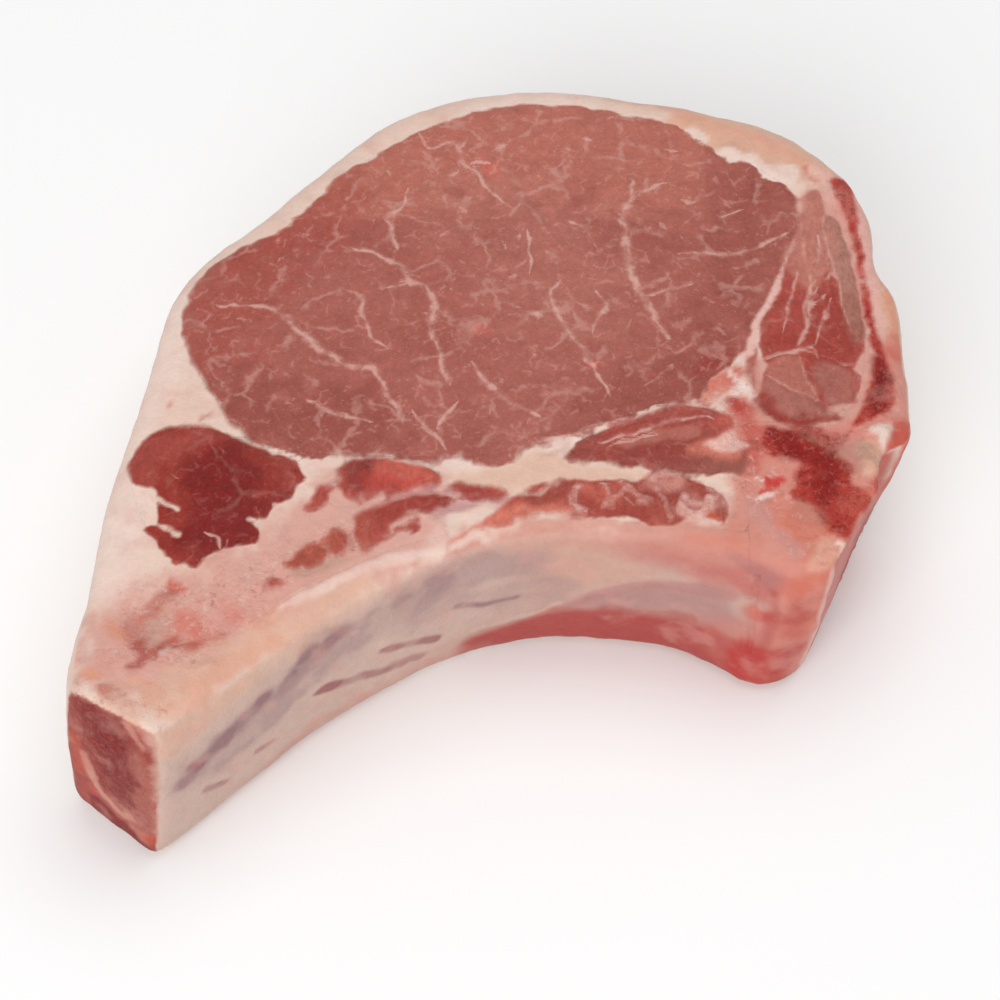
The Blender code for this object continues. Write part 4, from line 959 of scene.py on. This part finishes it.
loinEye = {
    "name": "loinEye", "voxel": 0.5, "colour": "lean", "deep": "leanDeep", "flecks": 1.0, "inset": -0.1,
    "areas": [
        None,
        [(-40, 12.6), (-34, 9.9), (-30, 8.6), (-25, 8.7), (-19.6, 9.1), (-17.1, 8.5), (-14.2, 7.9),
         (-11.4, 7.1), (-8.5, 8.5), (-7.6, 9.3), (-5, 7.3), (-3.2, 6.7), (1.3, 7.9), (3.6, 9.9),
         (7.1, 11.4), (11.7, 12), (14.8, 14), (19.4, 15), (24, 17.2), (28, 18.4), (31.1, 19.6),
         (34.2, 23.8), (36.9, 26.2), (38.1, 29.3), (41.1, 33.9), (43.1, 39.1), (45.9, 45.5),
         (48.4, 50.9), (50.1, 57), (46, 56), (39.5, 42), (25.8, 26), (0, 18), (-32, 20)],
    ],
    "patches": [
        ("leanWarm", 6, 16, 0.8, [(-26, 66), (-8, 74), (10, 76), (26, 72)]),
        ("leanPink", 3, 14, 0.35, [(-4, 60), (6, 52), (12, 40)]),
        ("leanRim", 1.5, 8, 0.55, [(-46, 30), (-43, 42), (-36, 50), (-28, 60)]),
        ("darkRim", 0.6, 2.4, 0.5, [(-46, 46), (-41, 50), (-36, 52.6)]),
        ("leanDeep", 3, 9, 0.75, [(-42, 18), (-34, 14), (-22, 13)]),
        ("leanDeep", 2, 8, 0.7, [(34, 28), (26, 22), (18, 18)]),
        ("leanDeep", 2, 8, 0.5, [(38, 40), (42, 52), (42, 62)]),
        ("dark", 0.6, 3, 0.6, [(34, 26), (35.5, 28)]),
        ("blood", 0.2, 0.6, 0.75, [(15, 26.4), (15.5, 26)]),
        ("coral", 0.5, 1.2, 0.6, [(-1.8, 69), (-1.2, 67.8)]),
        ("coral", 0.2, 1, 0.4, [(-4, 33.6), (-2, 33.4)]),
    ],
    "ragged": [
        (1, 2, 3, [(-36, 9), (-26, 8.6), (-14, 8.4), (-1, 9), (10, 13), (22, 17), (33, 24)]),
        (0.8, 1.5, 2, [(31, 78), (37, 71), (42, 69), (49, 62)]),
        (0.5, 1.5, 3, [(-52, 36), (-44, 50), (-32, 60), (-15, 76)]),
    ],
    "feather": [
        (1, 2.5, 0.9, [(-50, 40), (-49, 30), (-45, 18), (-38, 11)]),
        (0.6, 2, 0.6, [(-50, 40), (-44, 48), (-36, 54)]),
        (1, 2, 0.9, [(-26, 8.6), (-14, 8.4), (-1, 9), (8, 11)]),
        (1, 2, 1, [(44, 62), (46.6, 58), (48, 52)]),
    ],
    "veins": [
        (0.42, [(-46.5, 39), (-41, 38.7), (-37.5, 38), (-35, 36), (-32.5, 33), (-30, 30.5), (-27, 28),
         (-23.5, 26), (-20.5, 25.8), (-19.3, 23.5), (-18.3, 20.5), (-17, 18.5), (-15.7, 15.2)]),
        (0.34, [(-25, 41.5), (-23.5, 41), (-22.2, 39.3), (-22.7, 36.5), (-21, 32), (-18.5, 29.3)]),
        (0.42, [(-24, 50.3), (-21, 50), (-18.5, 48), (-16, 46.5), (-15, 43.5), (-12.5, 42.5),
         (-10.8, 38.5), (-11.3, 35), (-11, 32), (-9.7, 28.5), (-9, 25), (-8, 22.8)]),
        (0.26, [(-19, 42.3), (-15, 43.2)]),
        (0.34, [(-15.5, 63.5), (-17, 59), (-19, 58), (-18.5, 56), (-17.5, 53), (-17, 50.5)]),
        (0.34, [(-13.8, 76.5), (-12.5, 73.5), (-8, 74.5), (-7, 72), (-6.5, 69.5), (-4, 67.5),
         (-2.5, 65), (1.5, 59.5)]),
        (0.24, [(-7, 73.3), (-5.3, 75.5)]), (0.24, [(-5, 69.8), (-1.5, 69.5)]),
        (0.4, [(-4.5, 26.5), (-3.5, 24.5), (-1.5, 22), (3, 18), (6, 16.3)]),
        (0.4, [(10, 43.5), (8.3, 41.5), (8.5, 38.5), (11, 33.5), (12, 31), (14, 28.5), (16, 23.5),
         (17.5, 20.5)]),
        (0.28, [(16, 41), (17.5, 38.5), (16.3, 36), (15.3, 33)]),
        (0.5, [(22, 66), (22.7, 63), (21.7, 59.5), (20.5, 57), (21, 53), (21.3, 46), (22, 43.5),
         (23.5, 40), (25, 37.5), (26, 34.5), (27.5, 32.3)]),
        (0.28, [(22.7, 63.2), (28, 65.3)]), (0.26, [(24, 40.5), (32, 43.5)]),
        (0.3, [(30, 49.5), (36, 49.7), (41, 50.3), (48, 54.5)]),
        (0.32, [(-31, 19), (-28, 17.8), (-25, 16), (-20.5, 15)]),
        (0.36, [(-14, 16.5), (-12, 14), (-10, 11.5), (-8.8, 9.5)]), (0.26, [(-10, 14), (-7, 18.5)]),
        (0.2, [(4.5, 54.5), (5, 50), (5, 45)]), (0.2, [(37, 58), (41, 59.3)]),
        # painted highlight: the first dot on the next line, high in the eye, is a glint of light drawn
        # with the veins
        (0.6, [(-0.9, 72.7), (0.4, 73.4)]), (0.45, [(-8.9, 67.1), (-7.7, 67.5)]),
        (0.4, [(-6.8, 59.3), (-5.8, 58.6)]), (0.3, [(14.4, 75.1), (15.6, 74.9)]),
        (0.35, [(28.8, 73.2), (30.2, 72.8)]), (0.35, [(31.3, 61.7), (32.7, 61.3)]),
        (0.35, [(27.1, 56), (27.9, 55)]), (0.3, [(11.8, 56.3), (13.2, 55.7)]),
        (0.35, [(1.2, 38.7), (2.8, 38.3)]), (0.35, [(5.4, 36.6), (6.7, 36.3)]),
    ],
}

darkMuscle = {
    "name": "darkMuscle", "colour": "dark", "deep": "darkDeep", "flecks": 0.35,
    "areas": [
        [(-58.8, 7.1), (-58.3, 8.9), (-55.3, 12.4), (-50.9, 14.2), (-45.3, 13.6), (-41.9, 11.6),
         (-36.7, 8.9), (-32.8, 7.7), (-30.8, 4.4), (-32.3, 1.9), (-34.1, -0.4), (-36.1, -0.4),
         (-36.4, -2.5), (-38.9, -4.5), (-37.7, -5.9), (-38.2, -7.6), (-41.8, -8.9), (-44.7, -9.6),
         (-47.2, -12.4), (-50.9, -10.2), (-54, -6.8), (-54.9, -5.2), (-53.2, -4.4), (-53.4, -1),
         (-54.4, 1.9), (-57.4, 3.1)],
    ],
    "patches": [
        ("darkRim", 1, 5, 0.7, [(-58, 5), (-54, 9.5), (-47, 12.5)]),
        ("darkDeep", 2.5, 6, 0.8, [(-44, 6), (-42, -1), (-44, -7)]),
        ("darkRim", 0.5, 3, 0.5, [(-34, 6), (-33, 3.5)]),
    ],
    "veins": [(0.14, [(-51.8, 4.6), (-50.4, 3.8)]), (0.2, [(-45.8, -6.2), (-44, -7.4), (-43.2, -8.8)])],
    "gaps": [
        (0.5, [(-56, 1.4), (-53, -0.6), (-50, -2)]), (0.55, [(-57, -3.6), (-52.7, -5), (-50, -6.6)]),
        (0.3, [(-42.6, -10), (-42.4, -7.6)]), (0.4, [(-36.6, -4.4), (-38.8, -3.9)]),
    ],
    "ragged": [(0.6, 1.5, 3, [(-33, 1), (-38, -5), (-44, -10), (-50, -11), (-55, -6)])],
    "feather": [(0.5, 2, 0.6, [(-58, 6), (-55, 12), (-48, 14)])],
}

backMuscle = {
    "name": "backMuscle", "colour": "leanRed", "deep": "dark", "flecks": 0.45,
    "areas": [
        [(51.4, 61.9), (52.7, 64.1), (54.3, 63.2), (54.8, 58), (56, 57.9), (57.1, 54.8), (58.5, 46.6),
         (59.3, 38.5), (59.4, 32.2), (57.8, 27.3), (57, 25.6), (57.7, 22), (55.9, 18.8), (52.8, 18),
         (53.8, 16.8), (53.3, 15.6), (47.8, 14.4), (44, 16.2), (41.8, 19.6), (43.1, 24.8),
         (43.5, 26.5), (42.9, 28.1), (42.4, 33.5), (44.1, 37.9), (45.8, 40.6), (47.3, 47.2),
         (49.8, 52.9), (50.7, 56.4)],
    ],
    "patches": [
        ("leanPink", 2, 1.4, 0.9, [(53, 63), (53, 56), (52.6, 48)]),
        ("leanPink", 0.6, 1.6, 0.5, [(52.4, 46), (52.4, 43)]),
        ("leanPink", 0.8, 2, 0.75, [(50, 51), (49.6, 47), (50.6, 44)]),
        ("dark", "area", 0.8, 0.45, [(51, 40), (52.5, 42.4), (54.6, 43), (56.6, 36), (57.8, 31),
         (56, 27.4), (52, 29), (50.4, 32), (50.6, 36)]),
        ("leanPink", "area", 0.7, 0.65, [(43, 26.4), (45.5, 28.8), (48, 28.8), (49.4, 25.4),
         (51, 21.6), (50, 19.6), (47, 21.6), (43.6, 25)]),
        ("leanGrey", "area", 0.7, 0.5, [(50.4, 26), (54.8, 26.6), (57.4, 22.8), (56, 19), (53, 18.4)]),
        ("leanGrey", "area", 0.8, 0.6, [(42, 20), (43.4, 23.4), (46.6, 22.2), (50.8, 19), (54, 17),
         (49, 15.6), (44, 17.6)]),
        ("dark", 0.6, 2, 0.7, [(41.6, 20), (43, 17.4), (46, 15.8), (49, 15)]),
        ("dark", 0.4, 1.4, 0.5, [(45, 31.6), (47.6, 31.8)]),
    ],
    "veins": [
        (0.36, [(51.6, 43.4), (51.2, 40.6), (50.7, 38.4), (50.1, 34.8), (48.9, 31.7)]),
        (0.3, [(43.6, 28), (45.9, 29.4), (48, 29.7), (50.5, 30.3), (51.6, 28)]),
        (0.26, [(49.2, 46), (48.4, 42.4), (47.3, 38.4), (46.1, 33.4)]),
        (0.28, [(54.2, 40.4), (53.8, 38.4), (52.5, 34.3), (51.2, 30.8)]),
        (0.2, [(51.2, 40.4), (52.6, 42.6)]), (0.2, [(51.4, 39.4), (53.4, 41.4)]),
        (0.26, [(53.2, 53.9), (53.2, 50.9), (52.9, 48.3)]),
    ],
    "feather": [(1.2, 2, 1, [(42, 18), (48, 15), (54, 16)]), (1.5, 2, 0.8, [(50, 54), (51, 60)])],
    "ragged": [
        (0.9, 2, 2, [(41, 20), (46, 16), (53, 17), (57, 22)]),
        (0.5, 2, 3, [(43, 34), (48, 46), (51, 58)]),
    ],
}

sideMuscle = {
    "name": "sideMuscle", "voxel": 0.35, "colour": "leanGrey", "deep": "leanBrown", "flecks": 0.3,
    "areas": [
        [(54, 55.7), (54.8, 57.7), (56, 57.9), (57.1, 54.8), (58.4, 47), (59.2, 40), (59.3, 35.5),
         (58.8, 31.8), (57.3, 36.4), (56.3, 41.4), (55.2, 48.3), (54.3, 52.6)],
    ],
    "patches": [
        ("leanGrey", "area", 0.3, 0.95, [(54.6, 57), (56, 57.9), (57.1, 54.8), (58.5, 46.6),
         (59.3, 38.5), (59.2, 32.2), (58.2, 32.6), (56.8, 36.8), (55.6, 43.4), (54.6, 50)]),
        ("leanBrown", 0.8, 2.5, 0.6, [(57.8, 40), (58.4, 34)]),
        ("leanPink", 0.6, 1.6, 0.5, [(55, 55), (55.2, 50)]),
    ],
}

underMuscle = {
    "name": "underMuscle", "colour": "leanDeep", "deep": "leanRed", "flecks": 0.5,
    "areas": [
        [(10.4, 9.1), (13.6, 11.6), (18.4, 13.9), (23.3, 16.6), (28.1, 18), (32.9, 17.9),
         (36.2, 16.2), (37.5, 12.6), (39.6, 10.4), (38.2, 7.1), (37.4, 5.2), (34.9, 4.8), (29.9, 5),
         (25.2, 5.4), (22.1, 6.5), (17.3, 7.1), (13.3, 7.4), (10.6, 7.5)],
    ],
    "patches": [
        ("dark", "area", 1.6, 0.5, [(12, 8), (18, 12), (26, 14), (32, 13), (30, 8), (22, 7)]),
        ("leanRed", 1, 3, 0.75, [(18, 11.6), (24, 14), (30, 15.4), (36, 14.6)]),
        ("leanPink", 0.3, 1.2, 0.5, [(20, 10.6), (26, 12.4), (31, 13)]),
        ("coral", 0.5, 2.4, 0.6, [(36, 15.4), (38.6, 11)]),
        ("salmon", "area", 1, 0.8, [(29.7, 9.7), (33.6, 11.8), (36.2, 12.8), (38.3, 9.3), (37.1, 7.7),
         (33, 7.7)]),
        ("blush", "area", 0.6, 0.9, [(32.4, 10.2), (34, 11.6), (37, 13.2), (37.8, 11.8), (39.6, 10.4),
         (38.4, 9.3), (36.8, 9), (34.5, 9.3)]),
        ("leanBrown", 0.8, 2.4, 0.5, [(34, 5.6), (40, 6.4)]),
    ],
    "veins": [
        (0.3, [(16, 11), (20, 12.2), (24.5, 14), (30, 15.9), (34, 16)]),
        (0.14, [(17, 10), (21, 11.4), (25, 12.6)]),
    ],
    "ragged": [
        (0.8, 1, 2.5, [(12, 8), (20, 6.6), (30, 5.6), (38, 5)]),
        (1.6, 1.5, 2.5, [(38, 15), (41, 9), (42, 6)]),
    ],
    "feather": [
        (0.6, 1.5, 0.5, [(10, 8), (20, 6.8), (30, 5)]), (2.5, 2.5, 1, [(38, 16), (39, 10), (39, 5)]),
    ],
}

ribStrip = {
    "name": "ribStrip", "colour": "leanRim", "deep": "rust", "flecks": 0.4,
    "areas": [
        [(-2.2, -3.9), (0, -1.9), (2, 0.5), (4.8, 1), (6.6, 0.8), (8.3, 2.8), (11, 4), (14.5, 3.8),
         (18.8, 3.6), (21.6, 4), (25.6, 5.4), (28.3, 5), (32.2, 3.1), (34.6, 0.7), (35.5, -1.9),
         (35.1, -4.4), (32.7, -3.6), (29.6, -3.1), (27.2, -3.9), (23.3, -3.5), (20.6, -2.9),
         (15.9, -2.7), (12.6, -2.9), (9.4, -2.1), (6, -2.5), (3.4, -3.4), (1, -4.4)],
    ],
    "patches": [
        ("coral", 0.5, 3, 0.6, [(-0.6, -3.4), (3, -2)]),
        ("salmon", 0.6, 1.6, 0.75, [(-1.4, -3.8), (2.5, -2.8), (6, -2), (10, -1.8)]),
        ("coral", 1.6, 2, 0.4, [(14, 1), (17, 0.6)]), ("rose", 0.5, 2, 0.6, [(24.6, 3.4), (28, 3)]),
        ("rose", 0.8, 1.8, 0.55, [(29.6, -1), (32, -1)]),
        ("ember", 0.3, 0.6, 0.9, [(32.6, -3.2), (33.8, -3.7), (34.9, -4.3)]),
        ("dark", 0.3, 1.6, 0.5, [(12, 0), (16, -1.6), (22, -2.4)]),
        ("dark", 0.5, 2, 0.4, [(24, 1), (28, 0.6)]),
    ],
    "veins": [
        (0.2, [(15.8, 3.2), (17.2, 3)]), (0.2, [(19.8, 0.8), (21, -0.6)]),
        (0.16, [(25.6, 3), (26.4, 2)]),
    ],
    "ragged": [(0.6, 1, 2, [(-1, -4), (10, -1.4), (20, -3), (34, -4)])],
    "feather": [(0.6, 1.5, 0.9, [(-2, -4), (6, -2.8), (12, -2.4)]), (0.6, 1.5, 0.5, [(0, 0), (9, 3)])],
}

strapMuscle = {
    "name": "strapMuscle", "voxel": 0.35, "colour": "leanRed", "deep": "rust", "flecks": 0.35,
    "areas": [
        [(-24.7, 6.5), (-23.3, 7.3), (-19, 7.7), (-14.5, 6.3), (-10.5, 5), (-10, 3.8), (-10.6, 2.3),
         (-14.1, 1.6), (-16.1, 0.9), (-18.8, 1.7), (-20.6, 0.6), (-23.1, 0.4), (-25.4, 1.6),
         (-26.4, 1.1), (-26.9, -0.4), (-29.6, -1.7), (-28.9, 1.1), (-27.7, 2.3), (-25.1, 3.8),
         (-25.5, 5.4)],
    ],
    "patches": [
        ("coral", "area", 1.2, 0.5, [(-20.2, 6.2), (-19.2, 7.3), (-14.5, 6.3), (-10.2, 4.2),
         (-10.7, 2.7), (-14.9, 3), (-19.8, 4.4)]),
        ("marrow", 0.5, 1.6, 0.4, [(-21, 3.8), (-18.8, 3.3), (-16.3, 2.7), (-13.8, 2.3)]),
        ("coral", 0.4, 1.4, 0.55, [(-18, 6.8), (-13.6, 5.6)]),
        ("darkDeep", 0.4, 2, 0.5, [(-22, 6), (-23, 3)]),
    ],
    "ragged": [(1, 1.5, 2.5, [(-29, -1), (-24, 0.6), (-18, 1.6), (-12, 2.4)])],
    "feather": [(2, 3, 1, [(-30, -2), (-26, 2), (-20, 1)]), (1, 1.5, 0.5, [(-22, 7.6), (-12, 5.6)])],
}

ribMuscle = {
    "name": "ribMuscle", "voxel": 0.35, "colour": "leanRed", "deep": "dark", "flecks": 0.35,
    "areas": [
        [(-7.4, 0), (-9.4, 0.8), (-11.6, 1.3), (-14.1, 1.2), (-15.9, 0.4), (-19.3, -1.3),
         (-22.6, -2.8), (-22.3, -5), (-21.5, -8.1), (-20.7, -9.2), (-19.6, -8.9), (-19, -7.6),
         (-17.6, -6.6), (-16.9, -4), (-14.6, -3.2), (-13.7, -2.3), (-10.6, -1.5)],
        [(-8.7, 1.7), (-7.5, 2.6), (-6, 3), (-3.8, 2.6), (0.5, 1.9), (0, 0.6), (-1.2, 0), (-5.6, 0.7)],
        [(-16, -5.1), (-14.9, -4), (-13.7, -3.9), (-12.8, -4.9), (-14, -5.9)],
        [(4.1, 1.6), (5.3, 2.6), (6.7, 3), (7.2, 2.3), (6.3, 1.6)],
    ],
    "patches": [
        ("dark", 0.6, 2, 0.55, [(-18, -3), (-14, -1.4), (-8, 0.4)]),
        ("rust", 0.4, 2, 0.7, [(-22, -4), (-20.4, -8)]),
        ("lilac", 0.2, 0.8, 0.6, [(-17, 0.4), (-11, 1.8), (-6.4, 1.2)]),
    ],
    "ragged": [(1, 1.5, 2.5, [(-22, -6), (-17, -6), (-12, -3), (-6, -1)])],
    "feather": [(3.5, 3, 1, [(-20, -4), (-14, -1), (-4, 1.4)])],
}

pieces = {
    "fat": fatBody,
    "loin_eye": loinEye,
    "dark_muscle": darkMuscle,
    "back_muscle": backMuscle,
    "side_muscle": sideMuscle,
    "under_muscle": underMuscle,
    "intercostal_muscle": ribStrip,
    "strap_muscle": strapMuscle,
    "rib_muscle": ribMuscle,
    "rib_bone": {"name": "ribBone", "voxel": 0.5},
    "vertebra": {"name": "backbone", "voxel": 0.5},
}
pieces = {node: {**plainPiece, **changes} for node, changes in pieces.items()}

# fat seams that cut every muscle they cross: half width and line
seams = [
    (0.15, [(50.4, 62), (50.2, 58), (49.5, 53.5)]),
    (0.36, [(49.5, 53.5), (48.2, 50.2), (47, 47.6), (46, 44.9)]),
    (0.55, [(46, 44.9), (45, 42.1), (43.8, 39.5), (42.6, 37), (41.6, 34.5)]),
    (0.3, [(54.9, 60.8), (54.4, 57), (54.6, 52.6), (55, 48.3), (55.6, 44.4)]),
    (0.22, [(55.6, 44.4), (56.1, 40.6), (56.7, 37.2), (57.3, 34.5), (58.3, 32.2), (59.4, 31.4)]),
    (0.45, [(53.9, 44.6), (54.7, 45.8), (55.3, 45)]),
    (0.28, [(52.1, 44.4), (51.3, 42.3), (50.3, 39.3), (49.8, 37), (50.2, 34.9), (49.1, 32.8),
     (48.5, 30.8)]),
    (0.12, [(50.7, 53.1), (50.9, 49.6), (51.2, 46.6), (51.4, 43.6)]),
    (0.25, [(42.9, 27.9), (44.4, 28.9), (46.4, 29.7), (48.7, 29.9), (50.3, 29.3)]),
    (0.12, [(50.3, 29.3), (51.9, 28.5), (53.8, 28.1), (55.7, 26.9), (57.4, 27)]),
    (0.2, [(48.5, 29.1), (48.8, 26.5), (49.5, 23.6), (50.4, 21), (51.7, 19), (53.1, 17.8)]),
    (0.22, [(43.5, 24.2), (45.4, 22.8), (47.3, 21.8), (49.1, 21), (50.8, 19.4), (52.4, 17.8),
     (54, 16.8)]),
    (0.16, [(7.1, 11), (11.7, 11.7), (14.4, 12.9), (17.4, 13.9), (21.1, 15.5), (24, 17.1), (28, 18.3),
     (31, 18.8)]),
]


fatTones = {                     # clouds in the fat: size, seed, where they begin and strength
    "cream": (9, 3, 0.0, 0.5),
    "peach": (13, 5, 0.1, 0.25),
}
wallGrounds = {                  # what lies under the marks on each wall: colour and strength
    "front": ("membrane", 0.9),
    "side": ("sawn", 0.95),
    "end": ("endRed", 1.0),
}
leanEdge = {                     # in millimetres from a muscle's outline, positive inside it
    "join": (-0.6, 0.2),         # where one muscle's colour gives way to the next
    "rise": (-0.3, 1.2),         # where the lean rises above the fat
    "ragged": (2.2, 51, 3),      # its tatters: size, seed and octaves
    "deep": (7, 21),             # its deeper patches: size and seed
    "deepShare": 0.5,
    "steep": 0.3,                # surfaces that lie less flat than this show no lean
    "bare": -2.0,
}
relief = {                       # the surface's small forms: size, seed, octaves and height
    "waves": (9, 31, 2, 0.20),
    "lumps": (2.6, 33, 2, 0.10),
    "lean": (1.8, 35, 2, 0.05),
    "raw": (1.6, 36, 3, 0.16),
    "sponge": (1.1, 37, 2, 0.16),
}
leanLift = 0.14                  # how far the lean stands above the fat round it


def paintFat(skin):              # the fat's colour, and what stands on it
    skin.layer("fatPaint", "fat")
    for colour, (size, seed, low, strength) in fatTones.items():
        skin.blend("fatPaint", colour, ease(low, 0.9, cloud(skin.spots, size, seed)) * strength)
    for chart, (colour, strength) in wallGrounds.items():
        skin.blend("fatPaint", colour, skin.charts[chart][1] * strength)
    for chart, strokes in marks.items():
        skin.daub("fatPaint", chart, strokes)
    soft, strength, line = sponges["face"]
    skin.daub("fatPaint", "face", [("marrow", "area", soft, 0.95, line), *spongeMarks])
    skin.scalar("raw", rawZones)
    skin.scalar("feather", {"face": [stroke for look in pieces.values() for stroke in look["feather"]]})
    skin.scalar("sponge", {chart: [("area", *zone)] for chart, zone in sponges.items()})
    skin.scalar("skin", {"face": [stroke[1:] for stroke in folds]})


def muscleDepth(skin, look, rims):   # depth inside a muscle's visible areas
    flat = skin.charts["face"][0]
    depth = np.full(len(flat), -fieldReach)
    for outline in look["areas"]:
        inside = areaDepth(flat, outline) if outline else skin.rimDepth(rims)
        depth = np.maximum(depth, inside - look["inset"])
    for width, line in look["gaps"] + seams:
        depth = np.minimum(depth, trace(flat, line)[0] - width)
    for amount, width, soft, line in look["ragged"]:
        near = 1 - ease(width, width + soft, trace(flat, line)[0])
        depth = depth + near * amount * cloud(skin.spots * (1, 1, 0.3), *leanEdge["ragged"])
    return depth


def paintLean(skin, rims):
    flat, face = skin.charts["face"]
    skin.layer("leanPaint", "leanRim")
    skin.fields["flecks"] = np.zeros(len(flat))
    edge = np.full(len(flat), -fieldReach)
    patchy = ease(-0.2, 0.8, cloud(skin.spots, *leanEdge["deep"])) * leanEdge["deepShare"]
    low, high = leanEdge["join"]
    for node, look in pieces.items():
        if look["areas"]:
            depth = muscleDepth(skin, look, rims[node])
            mine = ease(low, high, depth - np.maximum(edge, low))
            skin.blend("leanPaint", look["colour"], mine)
            skin.blend("leanPaint", look["deep"], mine * patchy)
            skin.fields["flecks"] += (look["flecks"] - skin.fields["flecks"]) * mine
            edge = np.maximum(edge, depth)
    for look in pieces.values():
        skin.daub("leanPaint", "face", look["patches"])
    skin.streaks("vein", [vein for look in pieces.values() for vein in look["veins"]])
    skin.fields["edge"] = np.where(face > leanEdge["steep"], edge, np.minimum(edge, leanEdge["bare"]))
    return edge


def smallForm(skin, name):
    *noise, height = relief[name]
    return cloud(skin.spots, *noise) * height


def shape(skin, edge):           # the small relief, the same on every piece that it crosses
    flat, face = skin.charts["face"]
    amount = smallForm(skin, "waves") + smallForm(skin, "lumps")
    amount += ease(*leanEdge["rise"], edge) * face * (leanLift + smallForm(skin, "lean"))
    amount += skin.fields["raw"] * smallForm(skin, "raw")
    amount += skin.fields["sponge"] * smallForm(skin, "sponge")
    for height, width, soft, pale, line in folds:
        amount += height * face * (1 - ease(width, width + soft, trace(flat, line)[0]))
    skin.swellBy(amount)
    skin.spots[:, 2] = np.clip(skin.spots[:, 2], 0, None)   # it lies flat before the seams sink into it
    skin.swellBy(-ease(0.0, -chop["seamGrow"], skin.own) * chop["seamDip"])


trees = {node: wallTree(node) for node in pieces}
rims = {node: (rimEdges(node, True), rimEdges(node, False)) for node in pieces}
print("read the walls of", len(trees), "pieces")
body = Body(trees)
print("made the body with", len(body.points), "points")
for node, look in pieces.items():
    skin = Skin(node, look, body, trees[node])
    paintFat(skin)
    shape(skin, paintLean(skin, rims))
    skin.finish(meatFinish(look["name"]))

studio = {
    "aimHeight": 34.0,           # the camera aims at the working point on the upper face, in mm
    "distance": 434.0,
    "elevation": 55.0,
    "lens": 100.0,
    "floorSize": 4.0,
    "floorColour": 0.93,
    "worldStrength": 0.55,
    "overhead": ((0.1, 0.15, 0.9), 0.9, 2.9, (0, 0, 0)),   # place, size, power and what it shines at
    "front": ((-0.35, -0.9, 0.6), 0.8, 6.2, (0, 0, 0.01)),
}


def makeFloor():
    bm = bmesh.new()
    bmesh.ops.create_grid(bm, x_segments=2, y_segments=2, size=studio["floorSize"] / 2)
    mesh = bpy.data.meshes.new("floor")
    bm.to_mesh(mesh)
    bm.free()
    floor = bpy.data.objects.new("floor", mesh)
    bpy.context.collection.objects.link(floor)
    finish = Finish("floor")
    shade = studio["floorColour"] + (finish.noise(60.0, 2.0) - 0.5) * 0.004
    colour = finish.shade((1.0, 1.0, 1.0), shade)
    mesh.materials.append(finish.surface(colour, 0.9, 0.0, {"Specular IOR Level": 0.1}))


def addLight(name, place, side, power, target):
    light = bpy.data.lights.new(name, "AREA")
    light.shape = "DISK"
    light.size = side
    light.energy = power
    lamp = bpy.data.objects.new(name, light)
    lamp.location = place
    lamp.rotation_euler = (Vector(target) - Vector(place)).to_track_quat("-Z", "Y").to_euler()
    bpy.context.collection.objects.link(lamp)


def lightStudio():
    world = bpy.data.worlds.new("softRoom")
    world.use_nodes = True
    backdrop = world.node_tree.nodes["Background"]
    backdrop.inputs["Color"].default_value = (1.0, 1.0, 1.0, 1.0)
    backdrop.inputs["Strength"].default_value = studio["worldStrength"]
    bpy.context.scene.world = world
    addLight("overhead", *studio["overhead"])
    addLight("front", *studio["front"])
    bpy.context.scene.view_settings.view_transform = "Standard"


def addCamera():
    lens = bpy.data.cameras.new("camera")
    lens.lens = studio["lens"]
    camera = bpy.data.objects.new("camera", lens)
    aim = Vector((*chop["workPoint"], studio["aimHeight"])) / perMetre
    angle = math.radians(studio["elevation"])
    away = Vector((0, -math.cos(angle), math.sin(angle))) * studio["distance"] / perMetre
    camera.location = aim + away
    camera.rotation_euler = (-away).to_track_quat("-Z", "Y").to_euler()
    bpy.context.collection.objects.link(camera)
    bpy.context.scene.camera = camera


makeFloor()
lightStudio()
addCamera()
print("set up the studio")
